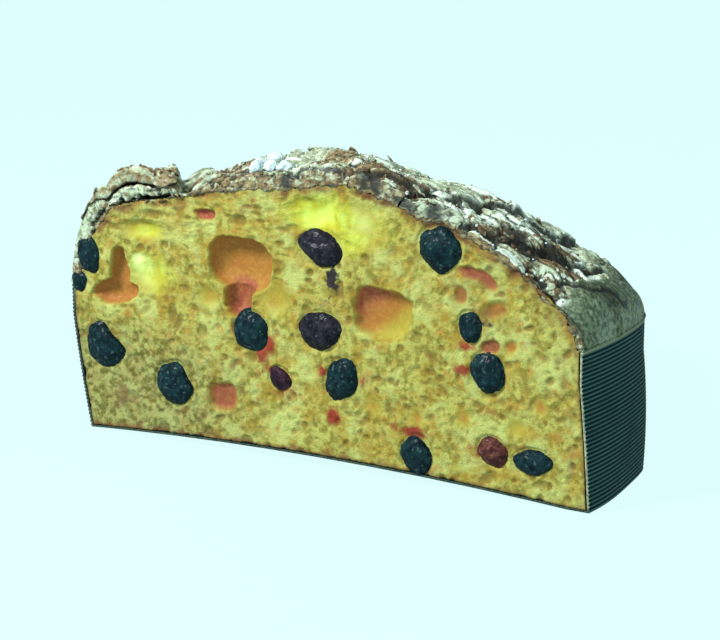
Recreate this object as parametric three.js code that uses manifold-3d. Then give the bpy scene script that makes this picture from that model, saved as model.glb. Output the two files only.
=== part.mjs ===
// Half of a dove-shaped festive cake in its ribbed paper case, cut from wing tip to wing tip.
//
// Millimetres, +Z up. While it is modelled, x runs along the cut from the left wing tip to the right one,
// y goes back from the flat cut face at y = 0 to the tip of the tail, and z starts at the table. The group
// at the end moves everything so that the origin is under the middle of the cake's box.

import * as THREE from "three";
import { mergeVertices } from "three/addons/utils/BufferGeometryUtils.js";
import Module from "manifold-3d";

const wasm = await Module();
wasm.setup();

// ---- Driving dimensions -----------------------------------------------------------------------

const RIM_HALF_SPAN = 105.6; // from the middle of the cut to a wing tip, at the paper's rim
const RIM_HEIGHT = 55.5;
const BASE_DRAW_IN = 1.6; // the paper wall stands in by this much at the table, on the cut
const BASE_DRAW_IN_BEHIND = 3.8; // and by this much behind it, where the wall bulges
const BULGE_FULL_AT = 42; // y at which the bulge has its full size
const LEAN_AT_BASE = 4.2; // the soft cake leans a little to the left on its base
const LEAN_AT_RIM = -1.1;
const LEAN_HEIGHT = 44; // the lean is used up at this height

const PAPER_WALL = 1.2; // over its ribs
const PAPER_FLOOR = 1.0;
const GAP = 0.3;

// Plan of the half dove at the rim: arcs and straights from the right wing tip round to the tail.
const WING_TOE_OUT = 9; // degrees, the wing is widest a little behind the cut
const WING_SIDE_RADIUS = 165;
const WING_SIDE_SWEEP = 17.5; // degrees
const WING_CORNER_RADIUS = 28;
const WING_CORNER_SWEEP = 79; // degrees
const WING_REAR_LENGTH = 8;
const NOTCH_RADIUS = 20;
const NOTCH_SWEEP = 82; // degrees
const TAIL_SIDE_LENGTH = 16;
const STEP_ON_ARC = 6.5; // length of a facet along a wide arc
const TURN_ON_ARC = 13; // degrees, the most a facet turns on a tight arc

// The domed crust. Heights over the rim of the plateau that the shoulders rise to, along the cut from left
// to right: [x, height].
const CROWN = [
  [-106, 40.5],
  [-42, 41],
  [-22, 46],
  [12, 49.4],
  [45, 47.4],
  [106, 39],
];

// Swellings of the crust: height, place in plan, and spread along x and y. The first is the crown of the dome,
// a little behind the cut, and the second is a flap of crust that has lifted at the left of the cut.
const SWELLINGS = [
  { rise: 8, at: [0, 27], spread: [46, 23] },
  { rise: 4.8, at: [-78, 0], spread: [22, 14] },
];

const TAIL_DROP = 0.5; // share of the height that is lost towards the tail
const TAIL_DROP_FROM = 16; // y
const TAIL_DROP_TO = 112;
const CRUST_LIP = 0.9; // height over which the crust swells out over the paper's rim

// Shoulders: a short steep swell over the rim takes this share of the rise, and the rest is a long curve that
// ends after the reach. Roundness 2 is a quarter ellipse, less is a flatter slope.
const LEFT_SHOULDER = { swell: 0, reach: 31, roundness: 2 };
const RIGHT_SHOULDER_AT_CUT = { swell: 0, reach: 82, roundness: 1.62 };
const RIGHT_SHOULDER_BEHIND = { swell: 0.24, reach: 112, roundness: 2 };
const SWELL_REACH = 10;
const RIGHT_SHOULDER_CHANGE = 22; // y at which the right shoulder has its full shape

// The paper floor bows up in the middle of the cut.
const FLOOR_ARCH = 3.4;
const FLOOR_ARCH_SPAN = 100; // half width at the cut
const FLOOR_ARCH_DEPTH = 70; // from the cut to where the floor is flat
const FLOOR_RINGS = [0.75, 0.5, 0.25]; // share of the way out from the middle of the cut

// Crust relief: broken plates of glaze, longer along the cut than across it.
const PLATE_LENGTH = 25;
const PLATE_DEPTH = 15;
const PLATE_STEP = 2.6; // difference in height between neighbours
const PLATE_TILT = 2.2;
const FISSURE_DEPTH = 2;
const FISSURE_WIDTH = 0.2; // as a share of a plate

// Rings of the crust mesh: distances in from the wall, then even steps to the middle of the cut.
const SHOULDER_RINGS = [0.35, 1.6, 4, 8, 13, 19.5];
const INNER_RINGS = 18;
const THIN_OUT = [0.62, 0.32]; // rings nearer to the middle than this share use half as many points, then a quarter
const WALL_LEVELS = [0, 0.16, 0.4, 0.72, 1]; // of the height from the case's floor to its rim

// Berries that show in the cut: left, right, bottom and top in the cut plane, and tilt in degrees.
const BERRIES = {
  berry_crown: [-6.3, 11.5, 74.5, 87.5, 0],
  berry_shoulder: [41.7, 58.6, 76.3, 93.1, -12],
  berry_middle_left: [-34, -19.6, 39.7, 54, 0],
  berry_middle: [-6.2, 10.8, 43.3, 57.3, 8],
  berry_wing_left: [-100, -83, 25, 41, -10],
  berry_low_left: [-69, -51.8, 15, 30.6, 12],
  berry_tilted: [4.6, 17.6, 25.2, 41.6, 28],
  berry_right_small: [57.6, 66, 53.4, 64.4, 10],
  berry_right: [62.3, 76, 36.4, 51.2, 0],
  berry_bottom: [35.4, 47.7, 4.2, 18.8, 0],
  berry_low_right: [79.4, 93.5, 9.8, 19.4, 4],
  berry_reddish: [64.5, 76, 11, 20.6, -32],
  berry_speck: [-19.2, -9.8, 26.4, 34.8, -30],
  berry_left_edge: [-103.6, -94.4, 60.4, 74.4, 14],
  berry_left_rim: [-106.8, -100.6, 53.2, 60, 0],
};
const BERRY_BULGE = 0.36; // of its radius stands proud of the cut
const BERRY_THICKNESS = 0.72; // front to back, against its radius in the cut
const BERRY_WRINKLE = 0.05;
const BERRY_SIDES = 11;
const BERRY_BANDS = 7;

// Air pockets in the crumb: left, right, bottom and top in the cut plane, depth, and tilt in degrees.
const POCKETS = [
  [-45.8, -16, 60.5, 80.8, 13, -8],
  [-38.2, -25.8, 51.2, 65, 9, 10],
  [-26, -7.8, 50.5, 68.4, 3.5, 0],
  [15, 39, 49.5, 69.4, 10, -6],
  [-88.8, -80.4, 53, 71, 9, 0],
  [-96.4, -76.4, 48.8, 60, 8, 4],
  [-80.8, -62, 54.6, 71.2, 6, -14],
  [-85.4, -61, 75, 83.8, 6, 4],
  [-10.5, 13, 84, 100, 4.5, 10],
  [8, 31, 81, 99, 3.5, -10],
  [-50.6, -40.8, 85.6, 90, 5, 2],
  [57.6, 73, 73.4, 79.6, 5, -20],
  [55.8, 61.2, 65.8, 73.8, 4, 0],
  [65.6, 78, 62.6, 69.4, 4.5, 14],
  [65.2, 74.4, 50.4, 55.8, 3.5, 10],
  [-45.4, -32.4, 14, 26, 7, 8],
  [-49.4, -39.8, 51.8, 62.2, 4, 30],
  [85.8, 92.4, 29.6, 39.2, 4, 10],
  [75.6, 86.4, 21.6, 30.4, 3, -10],
  [38.4, 46, 18.6, 28.4, 3.5, 20],
];
const POCKET_SIDES = [8, 13]; // fewest and most, by size
const POCKET_BANDS = 6;
const POCKET_UNEVENNESS = 0.09;

// Crevices between layers of crust. Each is a thin lens: its middle, its half length, its half thickness,
// how far it runs back, and its slope in degrees.
const CREVICES = [
  { at: [-70, 0, 96.6], length: 13, thickness: 1.4, depth: 15, slope: 15 },
  { at: [-76, 0, 88.8], length: 14, thickness: 1.7, depth: 12, slope: 17 },
  { at: [-94, 0, 80], length: 8, thickness: 1.5, depth: 9, slope: 62 },
  { at: [-54.5, 4, 101.6], length: 4.5, thickness: 2.2, depth: 22, slope: 66 },
  { at: [36, 2, 103.2], length: 17, thickness: 1.7, depth: 13, slope: -14 },
  { at: [66, 9, 98.4], length: 13, thickness: 2.4, depth: 9, slope: -30 },
  { at: [80, 4, 88.2], length: 8, thickness: 2.6, depth: 8, slope: -34 },
];
const CREVICE_SIDES = 14;
const CREVICE_BANDS = 6;

// Nuggets of pearl sugar on the crust: place in plan and radius.
const SUGAR = [
  [-27, 6, 3.6],
  [-21.5, 9, 3.1],
  [-15, 5, 3.4],
  [-22, 15, 2.6],
  [-33, 12, 2.4],
  [-66, 58, 3.2],
  [-12, 72, 3.4],
  [24, 92, 3],
  [-20, 112, 2.8],
];

// ---- Helpers ------------------------------------------------------------------------------------

const { clamp, lerp, smoothstep, degToRad: radians } = THREE.MathUtils;

// A fixed number between 0 and 1 for each pair of whole numbers.
function hash(i, j) {
  const s = Math.sin(i * 127.1 + j * 311.7 + 11.3) * 43758.5453;
  return s - Math.floor(s);
}

function toSolid(geometry) {
  const plain = geometry.clone().deleteAttribute("normal").deleteAttribute("uv");
  const merged = mergeVertices(plain, 1e-4);
  return new wasm.Manifold(
    new wasm.Mesh({
      numProp: 3,
      vertProperties: merged.attributes.position.array,
      triVerts: new Uint32Array(merged.index.array),
    }),
  );
}

function toGeometry(solid) {
  const mesh = solid.getMesh();
  const geometry = new THREE.BufferGeometry();
  geometry.setAttribute("position", new THREE.BufferAttribute(new Float32Array(mesh.vertProperties), 3));
  geometry.setIndex(new THREE.BufferAttribute(new Uint32Array(mesh.triVerts), 1));
  geometry.computeVertexNormals();
  return geometry;
}

// Cuts can leave a crumb behind: only the largest body stays.
function largestBody(solid) {
  return solid.decompose().reduce((a, b) => (a.volume() > b.volume() ? a : b));
}

function box(min, max) {
  const geometry = new THREE.BoxGeometry(max[0] - min[0], max[1] - min[1], max[2] - min[2]);
  geometry.translate((min[0] + max[0]) / 2, (min[1] + max[1]) / 2, (min[2] + max[2]) / 2);
  return toSolid(geometry);
}

// A closed body from rings, fanned shut at both ends. A ring is a list of { key, at }: key is the point's number
// round the outline, so that a ring with some points left out still joins up with its neighbour.
function ringsToGeometry(rings, firstCentre, lastCentre) {
  const positions = rings.flatMap((ring) => ring.flatMap((point) => point.at));
  positions.push(...firstCentre, ...lastCentre);
  const starts = [];
  let total = 0;
  for (const ring of rings) {
    starts.push(total);
    total += ring.length;
  }
  const index = [];
  const keyAt = (ring, i) => (i < ring.length ? ring[i].key : Infinity);
  for (let r = 0; r + 1 < rings.length; r++) {
    const [lower, upper] = [rings[r], rings[r + 1]];
    const low = (i) => starts[r] + (i % lower.length);
    const up = (i) => starts[r + 1] + (i % upper.length);
    let [i, j] = [0, 0];
    while (i < lower.length || j < upper.length)
      if (j === upper.length || (i < lower.length && keyAt(lower, i + 1) <= keyAt(upper, j + 1))) {
        index.push(low(i), low(i + 1), up(j));
        i++;
      } else {
        index.push(low(i), up(j + 1), up(j));
        j++;
      }
  }
  const fan = (ring, start, centre, flipped) => {
    for (let i = 0; i < ring.length; i++) {
      const [a, b] = [start + i, start + ((i + 1) % ring.length)];
      index.push(centre, ...(flipped ? [b, a] : [a, b]));
    }
  };
  fan(rings[0], 0, total, true);
  fan(rings.at(-1), starts.at(-1), total + 1, false);
  const geometry = new THREE.BufferGeometry();
  geometry.setAttribute("position", new THREE.Float32BufferAttribute(positions, 3));
  geometry.setIndex(index);
  return geometry;
}

// An uneven ellipsoid: radii along x, y and z, tilted in the cut plane, its skin pushed in and out by a share
// of the radius that changes with direction and seed. grow adds a clear distance all round.
function lump({ at, radii, tilt = 0, sides, bands, uneven = 0, seed = 0, grow = 0 }) {
  const geometry = new THREE.SphereGeometry(1, sides, bands);
  geometry.rotateX(Math.PI / 2); // the poles look out of the cut and into it
  const p = geometry.attributes.position;
  const v = new THREE.Vector3();
  for (let i = 0; i < p.count; i++) {
    v.fromBufferAttribute(p, i);
    const wave = Math.sin(3.1 * v.x + seed) + Math.sin(4.3 * v.z - 1.7 * seed) + Math.sin(3.7 * v.y + 2.3 * seed);
    const k = 1 + (uneven * wave) / 2;
    p.setXYZ(i, v.x * (radii[0] * k + grow), v.y * (radii[1] * k + grow), v.z * (radii[2] * k + grow));
  }
  geometry.rotateY(-radians(tilt));
  geometry.translate(...at);
  return toSolid(geometry);
}

// ---- Plan outline -------------------------------------------------------------------------------

// The right half of the plan at the rim, from the wing tip on the cut to the tip of the tail, as points
// with the direction that points out of the cake.
function planOfRightHalf() {
  const points = [];
  let [x, y] = [RIM_HALF_SPAN, 0];
  let heading = 90 - WING_TOE_OUT;
  const mark = () => {
    const h = radians(heading);
    points.push({ x, y, nx: Math.sin(h), ny: -Math.cos(h) });
  };
  const forward = (length) => {
    x += length * Math.cos(radians(heading));
    y += length * Math.sin(radians(heading));
    mark();
  };
  const turn = (radius, sweep) => {
    const length = radius * radians(Math.abs(sweep));
    const steps = Math.ceil(Math.max(length / STEP_ON_ARC, Math.abs(sweep) / TURN_ON_ARC));
    const chord = 2 * radius * Math.sin(radians(Math.abs(sweep)) / steps / 2);
    for (let i = 0; i < steps; i++) {
      heading += sweep / steps / 2;
      x += chord * Math.cos(radians(heading));
      y += chord * Math.sin(radians(heading));
      heading += sweep / steps / 2;
      mark();
    }
  };
  mark();
  turn(WING_SIDE_RADIUS, WING_SIDE_SWEEP);
  turn(WING_CORNER_RADIUS, WING_CORNER_SWEEP);
  forward(WING_REAR_LENGTH);
  turn(NOTCH_RADIUS, -NOTCH_SWEEP);
  forward(TAIL_SIDE_LENGTH);
  turn(x / Math.sin(radians(heading)), 180 - heading);
  return points;
}

const RIGHT_PLAN = planOfRightHalf();
const TAIL_TIP_Y = RIGHT_PLAN.at(-1).y;
const flip = (p) => ({ x: -p.x, y: p.y, nx: -p.nx, ny: p.ny });
const LEFT_PLAN = RIGHT_PLAN.slice(0, -1).reverse().map(flip);

// The cake is modelled a little past the cut, then cut flat: the wing sides run on in front of y = 0.
const PAST_CUT = 9;
const PAST_RIM = 5; // the room inside the case is cut out to a little over its rim
const FAR = 250; // well outside the cake
const wingEnd = (side) => ({ x: side * (RIM_HALF_SPAN - 1), y: -PAST_CUT, nx: side, ny: 0 });
const PLAN = [wingEnd(1), ...RIGHT_PLAN, ...LEFT_PLAN, wingEnd(-1)];

// Distance in plan from a point to the wall.
function distanceToWall(x, y) {
  let best = Infinity;
  for (let i = 0; i + 1 < PLAN.length; i++) {
    const [a, b] = [PLAN[i], PLAN[i + 1]];
    const [dx, dy] = [b.x - a.x, b.y - a.y];
    const t = clamp(((x - a.x) * dx + (y - a.y) * dy) / (dx * dx + dy * dy), 0, 1);
    best = Math.min(best, Math.hypot(x - a.x - t * dx, y - a.y - t * dy));
  }
  return best;
}

// The wall at a height, as a ring: drawn in towards the table, and shifted by the lean.
function wallRing(z, extraInset) {
  const down = clamp(1 - z / LEAN_HEIGHT, 0, 1);
  const lean = lerp(LEAN_AT_RIM, LEAN_AT_BASE, down);
  return PLAN.map((p, key) => {
    const drawIn = lerp(BASE_DRAW_IN, BASE_DRAW_IN_BEHIND, smoothstep(p.y, 0, BULGE_FULL_AT));
    const inset = drawIn * down * down + extraInset;
    return { key, at: [p.x - p.nx * inset + lean, p.y - p.ny * inset, z] };
  });
}

// Leaves out points of a ring near the middle, where they crowd.
function thinned(ring, share) {
  const every = share < THIN_OUT[1] ? 4 : share < THIN_OUT[0] ? 2 : 1;
  return ring.filter(({ key }) => key % every === 0);
}

// How far the floor bows up at a place.
function floorArch(x, y) {
  const across = clamp(1 - (x / FLOOR_ARCH_SPAN) ** 2, 0, 1);
  return FLOOR_ARCH * across * (1 - smoothstep(y, 0, FLOOR_ARCH_DEPTH));
}

// The rings of a bowed floor at a height, from the middle of the cut out to just inside the wall.
function floorRings(z, extraInset) {
  const edge = wallRing(z, extraInset);
  return FLOOR_RINGS.map((share) =>
    thinned(edge, share).map(({ key, at }) => {
      const [x, y] = [at[0] * share, at[1] * share];
      return { key, at: [x, y, z + floorArch(x, y)] };
    }),
  ).reverse();
}

const floorMiddle = (z) => [0, 0, z + floorArch(0, 0)];

// ---- Crust --------------------------------------------------------------------------------------

// Broken plates: each cell has its own height and tilt, with a fissure where two cells meet.
function plateRelief(x, y) {
  const [u, v] = [x / PLATE_LENGTH, y / PLATE_DEPTH];
  let near = { d: Infinity };
  let second = Infinity;
  for (let i = Math.floor(u) - 1; i <= Math.floor(u) + 2; i++)
    for (let j = Math.floor(v) - 1; j <= Math.floor(v) + 2; j++) {
      const [cu, cv] = [i + 0.85 * (hash(i, j) - 0.5), j + 0.85 * (hash(j + 57, i) - 0.5)];
      const d = Math.hypot(u - cu, v - cv);
      if (d < near.d) {
        second = near.d;
        near = { d, i, j, cu, cv };
      } else if (d < second) second = d;
    }
  const step = PLATE_STEP * (hash(near.i + 19, near.j + 7) - 0.5);
  const tiltX = PLATE_TILT * (hash(near.i + 3, near.j + 31) - 0.5);
  const tiltY = PLATE_TILT * (hash(near.i + 41, near.j + 5) - 0.5);
  const fissure = FISSURE_DEPTH * Math.exp(-(((second - near.d) / FISSURE_WIDTH) ** 2));
  return step + tiltX * (u - near.cu) + tiltY * (v - near.cv) - fissure;
}

// The height of the crown's plateau over the rim at x, read off its profile.
function crownAt(x) {
  const next = CROWN.findIndex(([at]) => at > x);
  const i = next < 0 ? CROWN.length - 1 : Math.max(next, 1);
  const [[x0, h0], [x1, h1]] = [CROWN[i - 1], CROWN[i]];
  return lerp(h0, h1, smoothstep(x, x0, x1));
}

const quarterRound = (s, roundness) => (1 - (1 - clamp(s, 0, 1)) ** roundness) ** (1 / roundness);

// How much of its height a shoulder has reached at a distance from the wall.
const shoulderRise = ({ swell, reach, roundness }, d) =>
  swell * quarterRound(d / SWELL_REACH, 2) + (1 - swell) * quarterRound(d / reach, roundness);

function crustHeight(x, y) {
  const d = distanceToWall(x, y);
  const toRight = smoothstep(x / Math.hypot(x, y, 1e-6), -1, 1);
  const behind = smoothstep(y, 0, RIGHT_SHOULDER_CHANGE);
  const right = lerp(shoulderRise(RIGHT_SHOULDER_AT_CUT, d), shoulderRise(RIGHT_SHOULDER_BEHIND, d), behind);
  const rise = lerp(shoulderRise(LEFT_SHOULDER, d), right, toRight);
  const plateau = SWELLINGS.reduce((height, { rise: most, at, spread }) => {
    const [u, v] = [(x - at[0]) / spread[0], (y - at[1]) / spread[1]];
    return height + most * Math.exp(-u * u - v * v);
  }, crownAt(x));
  const tail = 1 - TAIL_DROP * smoothstep(y, TAIL_DROP_FROM, TAIL_DROP_TO);
  const relief = plateRelief(x, y) * smoothstep(d, 3, 16);
  return RIM_HEIGHT + GAP + CRUST_LIP + plateau * tail * rise + relief;
}

function crustRing(inward, share) {
  const ring = PLAN.map((p, key) => {
    const reach = Math.hypot(p.x, p.y);
    const k = share * (1 - inward / reach);
    const [x, y] = [p.x * k, p.y * k];
    return { key, at: [x + LEAN_AT_RIM, y, crustHeight(x, y)] };
  });
  return thinned(ring, share);
}

function makeCakeBlock() {
  const floor = PAPER_FLOOR + GAP;
  const under = PAPER_WALL + GAP;
  const walls = WALL_LEVELS.map((t) => wallRing(lerp(floor, RIM_HEIGHT + GAP, t), under));
  const lip = wallRing(RIM_HEIGHT + GAP + CRUST_LIP / 3, 0);
  const shoulders = SHOULDER_RINGS.map((inward) => crustRing(inward, 1));
  const lastInward = SHOULDER_RINGS.at(-1);
  const inner = [];
  for (let i = 1; i < INNER_RINGS; i++) inner.push(crustRing(lastInward, 1 - i / INNER_RINGS));
  const rings = [...floorRings(floor, under), ...walls, lip, ...shoulders, ...inner];
  return toSolid(ringsToGeometry(rings, floorMiddle(floor), [LEAN_AT_RIM, 0, crustHeight(0, 0)]));
}

// ---- Berries, air pockets, crevices and sugar -----------------------------------------------------

function berry([left, right, bottom, top, tilt], seed, grow) {
  const [rx, rz] = [(right - left) / 2, (top - bottom) / 2];
  const thickness = BERRY_THICKNESS * Math.sqrt(rx * rz);
  const proud = BERRY_BULGE * Math.sqrt(rx * rz);
  const sink = thickness - proud;
  const widen = 1 / Math.sqrt(1 - (sink / thickness) ** 2); // so that the cut shows the stated width
  return lump({
    at: [(left + right) / 2, sink, (bottom + top) / 2],
    radii: [rx * widen, thickness, rz * widen],
    tilt,
    sides: BERRY_SIDES,
    bands: BERRY_BANDS,
    uneven: BERRY_WRINKLE,
    seed,
    grow,
  });
}

const pocket = ([left, right, bottom, top, depth, tilt], i) => {
  const size = Math.sqrt((right - left) * (top - bottom));
  return lump({
    at: [(left + right) / 2, 0, (bottom + top) / 2],
    radii: [(right - left) / 2, depth, (top - bottom) / 2],
    tilt,
    sides: Math.round(clamp(size, ...POCKET_SIDES)),
    bands: POCKET_BANDS,
    uneven: POCKET_UNEVENNESS,
    seed: 1.3 * i,
  });
};

const crevice = ({ at, length, thickness, depth, slope }) =>
  lump({ at, radii: [length, depth, thickness], tilt: slope, sides: CREVICE_SIDES, bands: CREVICE_BANDS });

function sugarNugget([x, y, radius], i) {
  const geometry = new THREE.IcosahedronGeometry(radius, 0);
  geometry.scale(1, 0.85 + 0.3 * hash(i, 1), 0.8 + 0.3 * hash(i, 2));
  geometry.rotateZ(Math.PI * hash(i, 3));
  geometry.rotateX(Math.PI * hash(i, 4));
  geometry.translate(x + LEAN_AT_RIM, y, crustHeight(x, y) + radius / 3); // part of it is baked in
  return toSolid(geometry);
}

// ---- Assembly -------------------------------------------------------------------------------------

const berryNames = Object.keys(BERRIES);
const berrySolids = berryNames.map((name, i) => berry(BERRIES[name], i + 1, 0));
const berrySockets = berryNames.map((name, i) => berry(BERRIES[name], i + 1, GAP));
const inFront = box([-FAR, -FAR, -FAR], [FAR, 0, FAR]);

const addAll = (solid, others) => others.reduce((a, b) => a.add(b), solid);
const cutAll = (solid, others) => others.reduce((a, b) => a.subtract(b), solid);

function makeCake() {
  const whole = addAll(makeCakeBlock(), SUGAR.map(sugarNugget));
  const hollows = [...CREVICES.map(crevice), ...POCKETS.map(pocket), ...berrySockets];
  return largestBody(cutAll(whole, [inFront, ...hollows]));
}

function makePaperCase() {
  const levels = WALL_LEVELS.map((t) => t * RIM_HEIGHT);
  const outer = [...floorRings(0, 0), ...levels.map((z) => wallRing(z, 0))];
  const inside = [PAPER_FLOOR, ...levels.slice(1, -1), RIM_HEIGHT + PAST_RIM];
  const room = [...floorRings(PAPER_FLOOR, PAPER_WALL), ...inside.map((z) => wallRing(z, PAPER_WALL))];
  const outerSolid = toSolid(ringsToGeometry(outer, floorMiddle(0), [LEAN_AT_RIM, 0, RIM_HEIGHT]));
  const roomTop = [LEAN_AT_RIM, 0, RIM_HEIGHT + PAST_RIM];
  const roomSolid = toSolid(ringsToGeometry(room, floorMiddle(PAPER_FLOOR), roomTop));
  return largestBody(cutAll(outerSolid, [roomSolid, inFront, ...berrySockets]));
}

const crumb = new THREE.MeshStandardMaterial({ color: 0xd9cf7a, roughness: 0.9, metalness: 0 });
const paper = new THREE.MeshStandardMaterial({ color: 0x12474b, roughness: 0.8, metalness: 0 });
const darkBerry = new THREE.MeshStandardMaterial({ color: 0x14303a, roughness: 0.35, metalness: 0 });
const redBerry = new THREE.MeshStandardMaterial({ color: 0x6b2c26, roughness: 0.4, metalness: 0 });

function addMesh(group, name, solid, material) {
  const mesh = new THREE.Mesh(toGeometry(solid), material);
  mesh.name = name;
  group.add(mesh);
}

const cake = new THREE.Group();
addMesh(cake, "cake", makeCake(), crumb);
addMesh(cake, "paper_case", makePaperCase(), paper);
berryNames.forEach((name, i) => {
  addMesh(cake, name, berrySolids[i], name === "berry_reddish" ? redBerry : darkBerry);
});

// The origin goes under the middle of the whole.
const extent = new THREE.Box3().setFromObject(cake, true);
const middle = extent.getCenter(new THREE.Vector3());
cake.position.set(-middle.x, -middle.y, -extent.min.z);

export default cake;
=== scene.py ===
# The looks of half a dove-shaped festive cake: open crumb, cracked crust, berries, sugar and ribbed paper.
#
# Shapes are worked out in millimetres in the frame of the cut: x runs along the cut from the left wing tip to
# the right one, y goes back from the flat cut face to the tail, and z starts at the table. add_mesh moves
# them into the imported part's frame, in metres.
import math
from typing import NamedTuple

import bmesh
import bpy
import numpy as np
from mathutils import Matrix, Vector, noise


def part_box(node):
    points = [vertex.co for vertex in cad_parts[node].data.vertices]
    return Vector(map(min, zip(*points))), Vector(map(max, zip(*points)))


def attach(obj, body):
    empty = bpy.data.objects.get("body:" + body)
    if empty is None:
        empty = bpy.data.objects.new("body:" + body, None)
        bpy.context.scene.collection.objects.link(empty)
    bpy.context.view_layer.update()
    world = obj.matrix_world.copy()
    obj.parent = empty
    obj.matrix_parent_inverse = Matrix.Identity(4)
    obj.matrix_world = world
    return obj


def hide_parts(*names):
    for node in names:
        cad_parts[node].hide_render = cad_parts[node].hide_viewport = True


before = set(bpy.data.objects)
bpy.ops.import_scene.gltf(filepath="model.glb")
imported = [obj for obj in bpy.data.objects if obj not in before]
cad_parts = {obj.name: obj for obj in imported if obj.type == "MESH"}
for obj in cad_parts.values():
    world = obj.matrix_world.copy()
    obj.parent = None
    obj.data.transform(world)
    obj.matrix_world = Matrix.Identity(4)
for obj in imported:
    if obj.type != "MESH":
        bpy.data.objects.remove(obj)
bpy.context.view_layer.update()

rng = np.random.default_rng(7)

# ---- Dimensions, in millimetres. The solids have the same, unless a comment says otherwise ----

RIM_HALF_SPAN = 105.6
RIM_HEIGHT = 55.5
BASE_DRAW_IN = 1.6  # how far the wall's foot stands in from its rim, at the cut
BASE_DRAW_IN_BEHIND = 3.8  # and from BULGE_FULL_AT on
BULGE_FULL_AT = 42
LEAN_AT_BASE = 4.2  # the case leans: its foot stands this far to the right, and its rim a little to the left
LEAN_AT_RIM = -1.1
LEAN_HEIGHT = 44
PAPER_WALL = 1.2
PAPER_FLOOR = 0.75  # the solid's is thicker than the photo's paper
GAP = 0.3  # between cake and paper
FLOOR_ARCH = 3.4  # how far the base bows up in the middle of the cut
FLOOR_ARCH_SPAN = 100
FLOOR_ARCH_DEPTH = 70
CROWN = [(-106, 40.5), (-42, 41), (-22, 46), (12, 49.4), (45, 47.4), (106, 39)]  # x, and height over the rim
SWELLINGS = [(8, (0, 27), (46, 23)), (4.8, (-78, 0), (22, 14))]  # height, place and spread
TAIL_DROP = 0.5  # share by which the crown is lower at the tail
TAIL_DROP_FROM = 16
TAIL_DROP_TO = 112
CRUST_LIP = 0.9
LEFT_SHOULDER = (0, 31, 2)  # share of a short swell, reach, roundness
RIGHT_SHOULDER_AT_CUT = (0, 82, 1.62)
RIGHT_SHOULDER_BEHIND = (0.24, 112, 2)
SWELL_REACH = 10
RIGHT_SHOULDER_CHANGE = 22
PLATE_LENGTH = 25
PLATE_DEPTH = 15
PLATE_STEP = 2.6
PLATE_TILT = 2.2
FISSURE_DEPTH = 2
FISSURE_WIDTH = 0.2  # as a share of a plate
SCATTER = 0.85  # how far a plate's middle strays from its place in a grid, as a share of the grid's step

# Berries in the cut: left, right, bottom, top and tilt in degrees.
BERRIES = {
    "crown": (-6.6, 11.4, 74, 86.6, 0),
    "shoulder": (41.5, 57.8, 76.6, 93.1, -12),
    "middle_left": (-34, -19.6, 39.7, 54, 0),
    "middle": (-6.2, 10.8, 43.3, 57.3, 8),
    "wing_left": (-101.4, -83.2, 24.8, 41.6, -10),
    "low_left": (-69, -51.8, 15, 30.6, 12),
    "tilted": (4.8, 17.2, 25, 42, -26),
    "right_small": (57.6, 66, 53.4, 64.4, 10),
    "right": (62.4, 75.4, 35.6, 51, 0),
    "bottom": (35.6, 47.6, 3.6, 17.6, 0),
    "low_right": (79, 93.5, 10.4, 19, 4),
    "reddish": (65.4, 77, 11.2, 20.8, -32),
    "speck": (-18.8, -10.2, 26.8, 34.4, -30),
    "left_edge": (-103.6, -94.4, 60.4, 74.4, 14),
    "left_rim": (-106.8, -100.6, 53.2, 60, 0),
}
# Where a berry is pressed in: the direction in x and z, and how much.
BERRY_DENTS = {
    "wing_left": (0.62, 0.78, 0.36),
    "low_left": (0.95, 0.3, 0.26),
    "crown": (-0.75, -0.66, 0.24),
    "right": (-0.8, -0.6, 0.14),
    "bottom": (0.8, 0.6, 0.12),
}
# As shares of a berry's size.
BERRY_BULGE = 0.36
BERRY_THICKNESS = 0.72
BERRY_FIT = 0.96


class Pocket(NamedTuple):
    """A large air pocket in the cut."""

    left: float
    right: float
    bottom: float
    top: float
    depth: float
    tilt: float  # degrees
    # the film's amber and red brown are painted shade in the pocket, and its nearly white below 0 is a
    # painted highlight
    amber_from: float  # film at the upper left: 0 yellow, 1 red brown, under 0 nearly white
    amber_to: float  # film at the lower right
    power: float = 2.0  # 2 gives an ellipse, and more a squarer outline
    softness: float = 0.16  # share of its radius over which it fades into the crumb


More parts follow.
